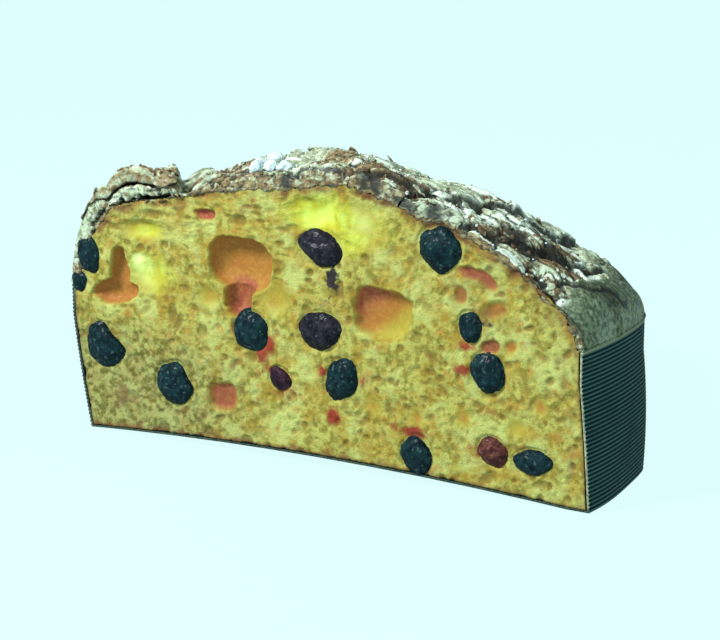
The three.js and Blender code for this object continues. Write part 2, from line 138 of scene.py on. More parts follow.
POCKETS = [
    Pocket(-26, -6.6, 50, 69, 2.0, 0, 0.26, 0.12, 2.2, 0.75),
    Pocket(-81.8, -59, 51, 72.2, 2.4, -24, -0.5, 0.12, 2.0, 0.8),
    Pocket(-85.4, -62, 74.6, 84.2, 2.4, 4, 0.42, -0.1, 2.2, 0.6),
    Pocket(-12, 15, 83, 101, 2.6, 10, 0.1, -0.15, 2.4, 0.8),
    Pocket(7, 34, 79, 101, 1.4, -10, -0.3, -0.05, 2.2, 0.9),
    Pocket(-45.8, -16, 60.5, 80.8, 7, -8, 0.56, 0.4, 2.3, 0.07),
    Pocket(-37.6, -26, 51.2, 66, 6, 4, 0.8, 1.0, 3.6, 0.1),
    Pocket(15.2, 40, 49, 69.6, 5, -6, 1.05, -0.06, 3.0, 0.24),
    # painted highlight: a small nearly white patch
    Pocket(-80.4, -68, 62.6, 71.6, 1.0, -20, -1.0, -0.7, 2, 0.8),
    Pocket(-89.6, -79.6, 50, 72.4, 5, 3, 0.5, 0.66, 1.5, 0.14),
    Pocket(-98, -75.6, 48.8, 60.2, 5, 6, 0.66, 0.6, 1.6, 0.14),
    Pocket(-50.6, -40.8, 85.6, 90, 2.0, 2, 1.05, 0.95, 2.6, 0.2),
    Pocket(56.4, 68, 75.2, 80.6, 1.6, -10, 1.0, 0.95, 2, 0.4),
    Pocket(62.6, 74.6, 72.6, 78.6, 1.6, -38, 0.95, 0.8, 2, 0.4),
    Pocket(55.6, 61.4, 65.4, 74, 1.2, 0, 0.7, 0.6, 2.4, 0.45),
    Pocket(64, 79.6, 61.6, 70.2, 1.4, 24, 0.5, 0.35, 2, 0.6),
    Pocket(65.2, 74.4, 50, 55.8, 1.6, 10, 0.9, 0.85, 2.4, 0.3),
    Pocket(-46, -32, 13.6, 26.6, 2.4, 8, 0.85, 0.9, 2.8, 0.34),
    Pocket(-52, -38, 50, 63.6, 1.6, 30, 0.24, 0.2, 2, 0.8),
    Pocket(-36, -30, 42.5, 50, 1.4, 0, 0.9, 0.85, 2.4, 0.5),
    Pocket(85, 93.2, 28.6, 40, 1.2, 10, 0.4, 0.35, 2, 0.8),
    Pocket(74, 88, 20.6, 31.4, 1.2, -10, 0.0, 0.05, 2, 0.9),
    Pocket(37.4, 47, 17.6, 29.4, 1.0, 20, 0.42, 0.3, 2, 0.9),
    Pocket(55, 65, 21, 31, 0.9, 10, 0.4, 0.3, 2, 0.9),
    Pocket(18, 30.5, 20, 31, 0.9, 0, 0.35, 0.25, 2, 0.9),
    Pocket(-21, -11, 59, 69, 0.9, 0, 0.2, 0.2, 2, 0.9),
    Pocket(74.5, 81.5, 50.6, 57.4, 1.2, 30, 0.6, 0.5, 2, 0.7),
]

# Juice stains in the crumb round the berries: place, half width, half height, strength.
STAINS = [
    (-22.4, 39.2, 2.5, 2.7, 1.0),
    (-19, 43, 2.7, 3, 1.0),
    (-18.6, 33.4, 2.2, 1.8, 0.7),
    (8, 19.5, 2.6, 3.2, 0.75),
    (59.4, 43.6, 2.6, 1.7, 1.0),
    (32.6, 20, 1.8, 1.8, 0.6),
    (20, 34, 2.6, 2.2, 0.45),
    (3, 36, 2.2, 2.6, 0.65),
    (-22, 33.5, 2, 2, 0.4),
    (70, 30, 3, 2, 0.3),
    (60.5, 52, 3.2, 2, 0.6),
    (64.5, 15, 3, 3.5, 0.5),
    (40.8, 18.4, 4, 1.8, 1.0),
    (-12, 26, 4, 3, 0.5),
    (7.6, 69, 1.9, 6, -1.0),
    (67.4, 61, 2.4, 1.1, -0.9),
]

# Small hollows in the crumb painted brown, partly as painted shade: place, half width, half height, strength.
BROWN_SPOTS = [
    (-83.5, 14, 3.6, 4, 0.75),
    (-57, 12.5, 1.8, 1.6, 0.7),
    (-48, 12, 2, 1.6, 0.7),
    (-76.5, 5, 1.8, 1.6, 0.8),
    (-34.5, 33, 1.8, 3, 0.6),
    (-57, 34, 2.4, 2, 0.4),
    (-57, 89, 2.4, 2.6, 0.6),
    (-29, 92, 2, 1.4, 0.5),
    (98, 46, 1.8, 6, 0.5),
    (101, 16, 1.6, 6, 0.5),
    (96, 52, 3, 1.6, 0.5),
    (86, 56.5, 2.4, 1.2, 0.6),
    (12, 64, 1.3, 6, 0.45),
    (3.4, 60, 2.4, 2, 0.5),
    (-39, 20, 7, 6.4, 0.42),
    (70, 53.4, 5, 3, 0.5),
    (64, 76.6, 8, 4, 0.5),
    (71, 73, 4, 4, 0.3),
    (58.5, 69.6, 4, 5, 0.5),
    (68, 64, 5, 3.4, 0.6),
    (92, 66, 3, 3, 0.5),
    (100, 33, 1.6, 5, 0.4),
]

# Where the crumb ends under the crust on the cut: x, z.
CRUMB_TOP = [
    (-103.6, 55), (-101.6, 64), (-97, 73.6), (-92, 80.5), (-87, 86), (-75, 89),
    (-62, 91.2), (-50, 95), (-30, 98), (-10, 99.4), (5, 102.6), (13, 103.2),
    (22, 101), (35.6, 97.5), (41, 94), (50, 94), (58.6, 90.4), (70, 85.4),
    (81.5, 79), (92, 71.6), (98, 66), (101, 61), (102.4, 55),
]

# ---- Small helpers ----


def clamp(x, low=0.0, high=1.0):
    return np.clip(x, low, high)


def smoothstep(x, low, high):
    t = clamp((x - low) / (high - low))
    return t * t * (3 - 2 * t)


def mix(a, b, t):
    return a + (b - a) * t


def bell(x, width):
    return np.exp(-((x / width) ** 2))


def hump(x, y, at, spread):
    """1 at a place, and less and less around it."""
    return np.exp(-(((x - at[0]) / spread[0]) ** 2) - ((y - at[1]) / spread[1]) ** 2)


def out_of(x, y, at_x, at_y, half_width, half_height):
    """How far out of an ellipse's middle a place is: 1 on its outline."""
    return np.hypot((x - at_x) / half_width, (y - at_y) / half_height)


def raise_to(values, part, level):
    values[part] = np.maximum(values[part], level)


def turned(x, y, degrees):
    """x and y in axes that are turned by an angle."""
    c, s = math.cos(math.radians(degrees)), math.sin(math.radians(degrees))
    return x * c + y * s, y * c - x * s


def random_at(i, j, seed):
    """A fixed number from 0 to 1 for each pair of whole numbers."""
    h = i.astype(np.int64) * 374761393 + j.astype(np.int64) * 668265263 + seed * 97463477
    h = h & 0xFFFFFFFF
    h = ((h ^ (h >> 13)) * 1274126177) & 0xFFFFFFFF
    return ((h ^ (h >> 16)) & 0xFFFFFF) / 0xFFFFFF


def waves(x, y, seed):
    """Gradient noise from about -1 to 1, with features about one unit wide."""
    xi, yi = np.floor(x), np.floor(y)
    fx, fy = x - xi, y - yi

    def corner(dx, dy):
        turn = 2 * np.pi * random_at(xi + dx, yi + dy, seed)
        return np.cos(turn) * (fx - dx) + np.sin(turn) * (fy - dy)

    u, v = smoothstep(fx, 0, 1), smoothstep(fy, 0, 1)
    return 1.5 * mix(mix(corner(0, 0), corner(1, 0), u), mix(corner(0, 1), corner(1, 1), u), v)


def rough(x, y, size, seed, octaves=3):
    """Waves of a size, with ever finer and weaker ones on top."""
    total = 0
    for k in range(octaves):
        total = total + waves(x / size * 2**k, y / size * 2**k, seed + k) / 2**k
    return total


def nearest(candidates):
    """The smallest distance at each place, the second smallest, and what goes with the smallest. A candidate
    is a distance and what goes with it, all as arrays."""
    near, second, best = np.inf, np.inf, None
    for distance, *own in candidates:
        closer = distance < near
        second = np.where(closer, near, np.minimum(second, distance))
        near = np.where(closer, distance, near)
        best = [np.where(closer, new, old) for new, old in zip(own, best or own)]
    return near, second, *best


def cells(x, y, seed):
    """Cells round scattered points: how far inside its cell a place is, a number of the cell's own, and how
    far up from the cell's point the place is."""

    def candidates():
        for dx in (-1, 0, 1):
            for dy in (-1, 0, 1):
                i, j = np.floor(x) + dx, np.floor(y) + dy
                u = x - i - 0.5 - SCATTER * (random_at(i, j, seed) - 0.5)
                v = y - j - 0.5 - SCATTER * (random_at(i, j, seed + 1) - 0.5)
                yield np.hypot(u, v), random_at(i, j, seed + 2), v

    near, second, own, up = nearest(candidates())
    return second - near, own, up


def polyline_distance(x, y, points):
    """Distance to a line of points, and the side of it: 1 to the left of its direction, else -1."""
    best = np.full(np.shape(x), 1e9)
    side = np.ones_like(best)
    for (ax, ay), (bx, by) in zip(points, points[1:]):
        dx, dy = bx - ax, by - ay
        t = clamp(((x - ax) * dx + (y - ay) * dy) / max(dx * dx + dy * dy, 1e-9))
        d = np.hypot(x - ax - t * dx, y - ay - t * dy)
        turn = dx * (y - ay) - dy * (x - ax)
        side = np.where(d < best, np.where(turn >= 0, 1.0, -1.0), side)
        best = np.minimum(best, d)
    return best, side


# ---- The form of the cake, as in the solids ----

WING_TOE_OUT = 9  # degrees
STEP_ON_ARC = 2.0
WING_SIDE = (165, 17.5)  # radius, and sweep in degrees
WING_REAR_CORNER = (28, 79)
WING_REAR = 8
NOTCH = (20, -82)  # between wing and tail
TAIL_SIDE = 16
UNDER_CUT = -9.0  # the wall's line runs on this far in front of the cut


def plan_of_right_half():
    """Points (x, y) with outward directions, from the right wing tip on the cut to the tip of the tail."""
    x, y, heading = RIM_HALF_SPAN, 0.0, 90.0 - WING_TOE_OUT
    points = []

    def mark():
        h = math.radians(heading)
        points.append((x, y, math.sin(h), -math.cos(h)))

    def forward(length):
        nonlocal x, y
        steps = math.ceil(length / STEP_ON_ARC)
        for _ in range(steps):
            x += length / steps * math.cos(math.radians(heading))
            y += length / steps * math.sin(math.radians(heading))
            mark()

    def turn(radius, sweep):
        nonlocal x, y, heading
        steps = math.ceil(radius * math.radians(abs(sweep)) / STEP_ON_ARC)
        chord = 2 * radius * math.sin(math.radians(abs(sweep)) / steps / 2)
        for _ in range(steps):
            heading += sweep / steps / 2
            x += chord * math.cos(math.radians(heading))
            y += chord * math.sin(math.radians(heading))
            heading += sweep / steps / 2
            mark()

    mark()
    turn(*WING_SIDE)
    turn(*WING_REAR_CORNER)
    forward(WING_REAR)
    turn(*NOTCH)
    forward(TAIL_SIDE)
    turn(x / math.sin(math.radians(heading)), 180 - heading)  # the round tail
    return points


RIGHT_PLAN = plan_of_right_half()
LEFT_PLAN = [(-x, y, -nx, ny) for x, y, nx, ny in RIGHT_PLAN[:-1]]
PLAN = np.array(LEFT_PLAN + RIGHT_PLAN[::-1])  # from the left wing tip round the tail to the right one
WALL_LINE = [
    (-RIM_HALF_SPAN + 1, UNDER_CUT),
    *PLAN[::3, :2].tolist(),
    PLAN[-1, :2].tolist(),
    (RIM_HALF_SPAN - 1, UNDER_CUT),
]


def length_along(x, y):
    """How far along a line of points each of them is."""
    return np.concatenate([[0], np.cumsum(np.hypot(np.diff(x), np.diff(y)))])


def evenly_along(points, count):
    """The points of an outline again, evenly spaced along it."""
    at = length_along(points[:, 0], points[:, 1])
    wanted = np.linspace(0, at[-1], count)
    return np.stack([np.interp(wanted, at, column) for column in points.T], 1)


def wall_point(plan, z, inset):
    """Where the wall passes at a height, drawn in by the inset: x and y for each point of the plan."""
    down = clamp(1 - z / LEAN_HEIGHT)
    lean = mix(LEAN_AT_RIM, LEAN_AT_BASE, down)
    draw_in = mix(BASE_DRAW_IN, BASE_DRAW_IN_BEHIND, smoothstep(plan[:, 1], 0, BULGE_FULL_AT))
    inward = draw_in * down * down + inset
    return plan[:, 0] - plan[:, 2] * inward + lean, plan[:, 1] - plan[:, 3] * inward


def wall_row(plan, z, inset):
    """Points all along the wall at a height."""
    x, y = wall_point(plan, z, inset)
    return np.stack([x, y, np.full(len(plan), z)], 1)


def floor_arch(x, y):
    across = clamp(1 - (x / FLOOR_ARCH_SPAN) ** 2)
    return FLOOR_ARCH * across * (1 - smoothstep(y, 0, FLOOR_ARCH_DEPTH))


def plate_hash(i, j):
    s = np.sin(i * 127.1 + j * 311.7 + 11.3) * 43758.5453
    return s - np.floor(s)


def plate_relief(x, y):
    """The large broken plates of the crust, as in the solid, with fissures between them."""
    u, v = x / PLATE_LENGTH, y / PLATE_DEPTH

    def candidates():
        for di in (-1, 0, 1, 2):
            for dj in (-1, 0, 1, 2):
                i, j = np.floor(u) + di, np.floor(v) + dj
                cu = i + SCATTER * (plate_hash(i, j) - 0.5)
                cv = j + SCATTER * (plate_hash(j + 57, i) - 0.5)
                yield np.hypot(u - cu, v - cv), i, j, cu, cv

    near, second, i, j, cu, cv = nearest(candidates())
    step = PLATE_STEP * (plate_hash(i + 19, j + 7) - 0.5)
    tilt_x = PLATE_TILT * (plate_hash(i + 3, j + 31) - 0.5)
    tilt_y = PLATE_TILT * (plate_hash(i + 41, j + 5) - 0.5)
    fissure = bell(second - near, FISSURE_WIDTH)
    return step + tilt_x * (u - cu) + tilt_y * (v - cv) - FISSURE_DEPTH * fissure


def crown_at(x):
    height = np.full(np.shape(x), float(CROWN[0][1]))
    for (x0, h0), (x1, h1) in zip(CROWN, CROWN[1:]):
        height = np.where(x >= x0, mix(h0, h1, smoothstep(x, x0, x1)), height)
    return height


def quarter_round(s, roundness):
    return (1 - (1 - clamp(s)) ** roundness) ** (1 / roundness)


def shoulder_rise(shoulder, d):
    swell, reach, roundness = shoulder
    return swell * quarter_round(d / SWELL_REACH, 2) + (1 - swell) * quarter_round(d / reach, roundness)


def crust_height(x, y):
    """Height of the crust over the table. x is measured before the lean at the rim is added."""
    d, _ = polyline_distance(x, y, WALL_LINE)
    to_right = smoothstep(x / np.maximum(np.hypot(x, y), 1e-6), -1, 1)
    behind = smoothstep(y, 0, RIGHT_SHOULDER_CHANGE)
    right_at_cut = shoulder_rise(RIGHT_SHOULDER_AT_CUT, d)
    right = mix(right_at_cut, shoulder_rise(RIGHT_SHOULDER_BEHIND, d), behind)
    rise = mix(shoulder_rise(LEFT_SHOULDER, d), right, to_right)
    plateau = crown_at(x)
    for most, at, spread in SWELLINGS:
        plateau = plateau + most * hump(x, y, at, spread)
    tail = 1 - TAIL_DROP * smoothstep(y, TAIL_DROP_FROM, TAIL_DROP_TO)
    relief = plate_relief(x, y) * smoothstep(d, 3, 16)
    return RIM_HEIGHT + GAP + CRUST_LIP + plateau * tail * rise + relief


# The photo's crust stands a little higher or lower than the solids' in places: place, spread and rise.
RISES = [
    ((-38, 16), (11, 20), 3.0),
    ((-18, 12), (9, 12), 1.2),
    ((50, 28), (12, 12), 1.0),
    ((78, 48), (8, 12), -2.4),
    ((94, 34), (16, 22), -4.4),
    ((97, 58), (6, 12), -3.0),
    ((18, 128), (40, 32), -3.4),  # keeps the tail hidden behind the dome
]


def crust_top(x, y):
    """Height of the crust before its fine relief."""
    height = crust_height(x, y)
    for at, spread, rise in RISES:
        height = height + rise * hump(x, y, at, spread)
    return np.maximum(height, RIM_HEIGHT + 1)


# ---- Meshes ----

MM = 0.001
# The cut face is the cake's lowest y, and the paper's left side is the left wing's widest point at the rim.
CUT_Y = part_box("cake")[0].y
CUT_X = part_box("paper_case")[0].x - (PLAN[:, 0].min() + LEAN_AT_RIM) * MM


def add_mesh(name, points, faces, materials, masks=None, smooth=True, second_material=()):
    """A mesh piece from points in millimetres in the frame of the cut. masks become point attributes, and the
    faces numbered in second_material take the second material."""
    placed = np.asarray(points, float) * MM + (CUT_X, CUT_Y, 0)
    mesh = bpy.data.meshes.new(name)
    mesh.from_pydata(placed.tolist(), [], [list(map(int, face)) for face in faces])
    for mask, values in (masks or {}).items():
        attribute = mesh.attributes.new(mask, "FLOAT", "POINT")
        attribute.data.foreach_set("value", np.asarray(values, np.float32).ravel())
    for material in materials:
        mesh.materials.append(material)
    mesh.polygons.foreach_set("use_smooth", np.full(len(mesh.polygons), smooth))
    for face in second_material:
        mesh.polygons[face].material_index = 1
    mesh.update()
    mesh.validate()
    piece = bpy.data.objects.new(name, mesh)
    bpy.context.scene.collection.objects.link(piece)
    return piece


def grid_faces(columns, rows, closed=False):
    """Quads between neighbours of a grid stored column by column. A closed grid joins its last row to its
    first."""
    c, r = np.meshgrid(np.arange(columns - 1), np.arange(rows if closed else rows - 1), indexing="ij")
    up = (r + 1) % rows
    corners = [c * rows + r, (c + 1) * rows + r, (c + 1) * rows + up, c * rows + up]
    return np.stack([corner.ravel() for corner in corners], 1)


def closed_body(sections):
    """Points and faces of a body that runs through equal loops of points, with one face over each end."""
    columns, rows = sections.shape[:2]
    first_end = list(range(rows))[::-1]
    last_end = [(columns - 1) * rows + r for r in range(rows)]
    faces = [*grid_faces(columns, rows, closed=True).tolist(), first_end, last_end]
    return sections.reshape(-1, 3), faces


def unit_ball(subdivisions):
    """Points and triangles of a ball of radius 1."""
    mesh = bmesh.new()
    bmesh.ops.create_icosphere(mesh, subdivisions=subdivisions, radius=1)
    points = np.array([v.co for v in mesh.verts])
    faces = np.array([[v.index for v in f.verts] for f in mesh.faces])
    mesh.free()
    return points, faces


# ---- Materials ----


def linear(colour):
    """A colour as it looks on screen, 0 to 255, as the linear colour that a shader takes."""
    c = np.asarray(colour, float) / 255
    return (*np.where(c <= 0.04045, c / 12.92, ((c + 0.055) / 1.055) ** 2.4), 1.0)


class Shader:
    """A new material with a Principled shader, and short ways to add the nodes that feed it. Colours are
    given as they look on screen, 0 to 255."""

    def __init__(self, name, **values):
        self.material = bpy.data.materials.new(name)
        self.material.use_nodes = True
        self.tree = self.material.node_tree
        self.surface = next(n for n in self.tree.nodes if n.type == "BSDF_PRINCIPLED")
        for socket, value in values.items():
            self.feed(socket.replace("_", " "), value)
        place = self.node("TexCoord", {}, {}, "Object")
        self.millimetres = self.node("VectorMath", {"operation": "SCALE"}, {0: place, "Scale": 1 / MM})

    def plug(self, value, socket):
        if isinstance(value, bpy.types.NodeSocket):
            self.tree.links.new(value, socket)
        else:
            socket.default_value = linear(value) if socket.type == "RGBA" else value

    def feed(self, socket, value):
        self.plug(value, self.surface.inputs[socket])

    def node(self, kind, settings, inputs, output=0):
        """The output of a new node with these settings and inputs."""
        node = self.tree.nodes.new("ShaderNode" + kind)
        for name, value in settings.items():
            setattr(node, name, value)
        for socket, value in inputs.items():
            self.plug(value, node.inputs[socket])
        return node.outputs[output]

    def mask(self, name):
        return self.node("Attribute", {"attribute_name": name}, {}, "Fac")

    def stretched(self, scale):
        return self.node("VectorMath", {"operation": "MULTIPLY"}, {0: self.millimetres, 1: scale})

    def noise(self, size, detail=3.0, place=None):
        """Fractal noise from 0 to 1 with features of a size in millimetres."""
        inputs = {"Scale": 1 / size, "Detail": detail, "Vector": place or self.millimetres}
        return self.node("TexNoise", {}, inputs, "Fac")

    def map(self, value, low, high, to_low=0.0, to_high=1.0):
        """value carried from the range low..high to the range to_low..to_high, held at its ends."""
        inputs = {"Value": value, "From Min": low, "From Max": high, "To Min": to_low, "To Max": to_high}
        return self.node("MapRange", {"interpolation_type": "SMOOTHSTEP"}, inputs, "Result")

    def math(self, operation, a, b):
        return self.node("Math", {"operation": operation}, {0: a, 1: b})

    def blend(self, factor, a, b):
        """Colour a where the factor is 0 and colour b where it is 1."""
        node = self.tree.nodes.new("ShaderNodeMix")
        node.data_type = "RGBA"
        sockets = [s for s in node.inputs if s.type == "RGBA"]
        for value, socket in ((factor, node.inputs["Factor"]), (a, sockets[0]), (b, sockets[1])):
            self.plug(value, socket)
        return next(s for s in node.outputs if s.type == "RGBA")

    def between(self, value, low, high, a, b):
        """From colour a to colour b as the value goes from low to high."""
        return self.blend(self.map(value, low, high), a, b)

    def tint(self, colour, value, low, high, most, toward):
        """A colour that turns toward another as the value goes from low to high, by a share at most."""
        return self.blend(self.map(value, low, high, 0.0, most), colour, toward)

    def frayed(self, name, size, detail, amount):
        """A mask whose edges are broken up by noise."""
        frays = self.map(self.noise(size, detail), 0.3, 0.7, -amount, amount)
        return self.math("ADD", self.mask(name), frays)

    def bump(self, height, distance):
        """Relief of a height from 0 to 1 that stands for a distance in millimetres."""
        self.feed("Normal", self.node("Bump", {}, {"Distance": distance * MM, "Height": height}, "Normal"))


def film_colour(s):
    """The thin film in the air pockets, from nearly white over yellow and amber to red brown. Its amber and
    red brown are painted shade, and its nearly white is a painted highlight and glow.
    """
    amber = s.mask("amber")
    film = s.between(amber, 0.05, 0.5, (144, 138, 44), (144, 94, 36))
    film = s.tint(film, amber, 0.5, 1.0, 1.0, (134, 62, 48))
    film = s.tint(film, s.noise(6, 3.0), 0.4, 0.75, 0.3, (150, 114, 42))
    film = s.blend(s.map(amber, -0.5, 0.0, 1.0, 0.0), film, (220, 240, 166))
    return s.tint(film, s.noise(1.4, 4.0), 0.4, 0.7, 0.15, (196, 170, 84))


def crumb_material():
    s = Shader("soft_crumb", Specular_IOR_Level=0.2)
    fine, hollow = s.noise(2.2, 5.0), s.mask("hollow")
    colour = s.between(fine, 0.34, 0.66, (118, 111, 42), (160, 161, 81))
    colour = s.tint(colour, s.noise(6, 4.0), 0.42, 0.66, 0.6, (148, 120, 38))
    colour = s.tint(colour, s.noise(9, 5.0), 0.46, 0.68, 0.75, (168, 179, 104))
    colour = s.tint(colour, s.noise(4.4, 3.0), 0.56, 0.72, 0.6, (150, 100, 36))
    # painted shade: the pores are painted darker and browner by their depth
    colour = s.tint(colour, s.mask("pore"), 0.1, 0.95, 0.85, (108, 88, 30))
    # painted shade: the crumb is painted darker toward the lower left by the dim mask
    dim = s.between(fine, 0.36, 0.62, (62, 68, 30), (134, 140, 88))
    colour = s.tint(colour, s.mask("dim"), 0.0, 1.0, 0.62, dim)
    colour = s.blend(hollow, colour, film_colour(s))
    # painted glow: the crumb is painted bright yellow where light shines through it
    strands = s.noise(5.0, 3.0, s.stretched((1.0, 1.0, 0.55)))
    shining = s.between(strands, 0.36, 0.64, (164, 164, 30), (180, 202, 84))
    colour = s.tint(colour, s.mask("glow"), 0.1, 1.0, 0.92, shining)
    # brown: the crumb toasted by the crust, the base and the sides, and small hollows painted brown as shade
    colour = s.tint(colour, s.mask("toast_and_shade"), 0.0, 1.0, 0.95, (98, 66, 38))
    colour = s.tint(colour, s.frayed("juice", 2.4, 4.0, 0.17), 0.15, 0.8, 0.9, (124, 26, 26))
    colour = s.tint(colour, s.frayed("smear", 2.2, 3.0, 0.4), 0.3, 0.9, 1.0, (40, 36, 36))
    s.feed("Base Color", colour)
    s.feed("Roughness", s.map(hollow, 0.2, 1.0, 0.85, 0.66))
    s.bump(s.math("MULTIPLY", s.noise(0.7, 4.0), s.map(hollow, 0.0, 1.0, 1.0, 0.25)), 0.4)
    return s.material


def crust_material():
    s = Shader("baked_crust", Specular_IOR_Level=0.4)
    baked = s.between(s.noise(0.9, 4.0), 0.36, 0.64, (74, 56, 34), (132, 114, 78))
    baked = s.tint(baked, s.noise(7, 4.0), 0.42, 0.66, 0.6, (72, 74, 56))
    glaze = s.between(s.noise(2.6, 4.0), 0.34, 0.66, (114, 126, 96), (176, 194, 166))
    glaze = s.tint(glaze, s.mask("icing"), 0.3, 0.9, 1.0, (212, 232, 216))
    edge = s.frayed("glaze", 1.7, 4.0, 0.4)
    colour = s.between(edge, 0.38, 0.62, baked, glaze)
    level_streaks = s.noise(3.0, 5.0, s.stretched((0.8, 1.0, 1.3)))
    crumbs = s.between(s.noise(1.9, 5.0), 0.3, 0.7, (72, 54, 30), (154, 142, 98))
    crumbs = s.tint(crumbs, s.noise(4.0, 5.0), 0.5, 0.7, 0.85, (58, 52, 38))
    crumbs = s.tint(crumbs, level_streaks, 0.52, 0.66, 0.85, (184, 194, 162))
    colour = s.tint(colour, s.mask("crumbly"), 0.2, 0.8, 0.88, crumbs)
    # matte unglazed crust, whose dark colour on the right shoulder is partly painted shade
    matte_and_shade = s.between(s.noise(1.8, 5.0), 0.35, 0.65, (42, 62, 42), (110, 130, 98))
    colour = s.tint(colour, s.mask("matte_and_shade"), 0.3, 0.8, 0.92, matte_and_shade)
    colour = s.tint(colour, s.mask("tan"), 0.2, 0.8, 0.8, (136, 120, 84))
    # near black: the dark crust in the fissures, and painted shade in the gaps under ledges, in dark hollows
    # and under the flap
    colour = s.tint(colour, s.mask("crack_and_shade"), 0.25, 0.8, 0.93, (24, 30, 26))
    s.feed("Base Color", colour)
    s.feed("Roughness", s.map(edge, 0.4, 0.7, 0.85, 0.5))
    s.bump(s.noise(0.9, 5.0), 0.45)
    return s.material


def berry_material(name, dark, light, bloom_and_highlight):
    s = Shader(name, Specular_IOR_Level=0.05, Coat_Weight=0.05, Coat_Roughness=0.12)
    skin = s.between(s.noise(2.6, 4.0), 0.35, 0.68, dark, light)
    # light speckles: the skin's bloom, and painted highlights
    skin = s.tint(skin, s.noise(1.5, 4.0), 0.56, 0.74, 0.7, bloom_and_highlight)
    # painted shade: the folds of the skin are painted nearly black
    skin = s.tint(skin, s.mask("fold"), 0.3, 1.0, 0.7, (6, 14, 18))
    s.feed("Base Color", skin)
    s.feed("Roughness", s.map(s.noise(1.8, 3.0), 0.35, 0.7, 0.4, 0.7))
    s.bump(s.noise(0.5, 4.0), 0.25)
    return s.material


def paper_material():
    s = Shader("ribbed_paper", Specular_IOR_Level=0.03)
    fibres = s.noise(0.8, 4.0, s.stretched((0.25, 0.25, 1.0)))
    colour = s.between(fibres, 0.3, 0.7, (0, 26, 28), (4, 42, 44))
    # painted highlight: the ridges of the ribs are painted lighter
    colour = s.tint(colour, s.mask("ridge"), 0.35, 1.0, 0.85, (70, 104, 102))
    colour = s.tint(colour, s.noise(18, 3.0), 0.45, 0.75, 0.4, (16, 40, 42))
    s.feed("Base Color", s.blend(s.mask("rim"), colour, (150, 164, 130)))
    s.feed("Roughness", s.map(fibres, 0.3, 0.7, 0.5, 0.72))
    s.bump(fibres, 0.12)
    return s.material


def cut_paper_material():
    s = Shader("cut_paper_edge", Roughness=0.9, Specular_IOR_Level=0.2)
    grain = s.noise(0.8, 3.0)
    dark = s.between(grain, 0.35, 0.65, (24, 44, 40), (66, 80, 66))
    pale = s.between(grain, 0.35, 0.65, (104, 118, 98), (158, 168, 134))
    s.feed("Base Color", s.blend(s.mask("pale"), dark, pale))
    s.bump(s.noise(0.3, 3.0), 0.15)
    return s.material


def sugar_material():
    see_through = {"Subsurface_Weight": 0.25, "Subsurface_Scale": 2 * MM}
    s = Shader("pearl_sugar", Roughness=0.45, Specular_IOR_Level=0.5, **see_through)
    s.feed("Base Color", s.between(s.noise(0.9, 3.0), 0.35, 0.65, (176, 198, 200), (204, 224, 226)))
    s.bump(s.noise(0.6, 4.0), 0.35)
    return s.material


def flake_material():
    s = Shader("glaze_flakes", Specular_IOR_Level=0.45)
    tone = s.frayed("tone", 1.2, 3.0, 0.25)
    colour = s.between(tone, 0.2, 0.55, (86, 68, 42), (150, 162, 132))
    s.feed("Base Color", s.tint(colour, tone, 0.6, 0.95, 1.0, (200, 218, 200)))
    s.feed("Roughness", s.map(tone, 0.2, 0.9, 0.85, 0.45))
    s.bump(s.noise(0.6, 4.0), 0.3)
    return s.material


# ---- Crumb: the cut face ----

CRUMB_CENTRE = (0, 40)  # x and z
CRUMB_STEP = 0.47
CRUMB_DEPTH = 17  # the crumb body goes back this far behind the cut; the crust shell covers the rest
CRUMB_NARROWING = 0.86  # so that it stays under the crust
CRUMB_UNDER_CRUST = 1.2  # the face runs on this far under the crust's cut edge
PORE_KINDS = [(3400, 0.55, 1.1, 0.65), (950, 0.9, 2.0, 1.2), (150, 1.7, 3.0, 1.5)]  # number, radii, depth
PORES_FROM = (-104, 1)  # x and z
PORES_TO = (106, 104)
LEVEL_PORES_ABOVE = 76  # under the crust at the left, pores are drawn out level
SOCKET_GROOVE = 0.9  # depth and width of the groove round a berry
FACE_SINK = 0.1
FACE_RELIEF = 0.22
POCKET_UNEVENNESS = 0.13
SPARE = 8  # grid places round an ellipse, because the grid leans a little


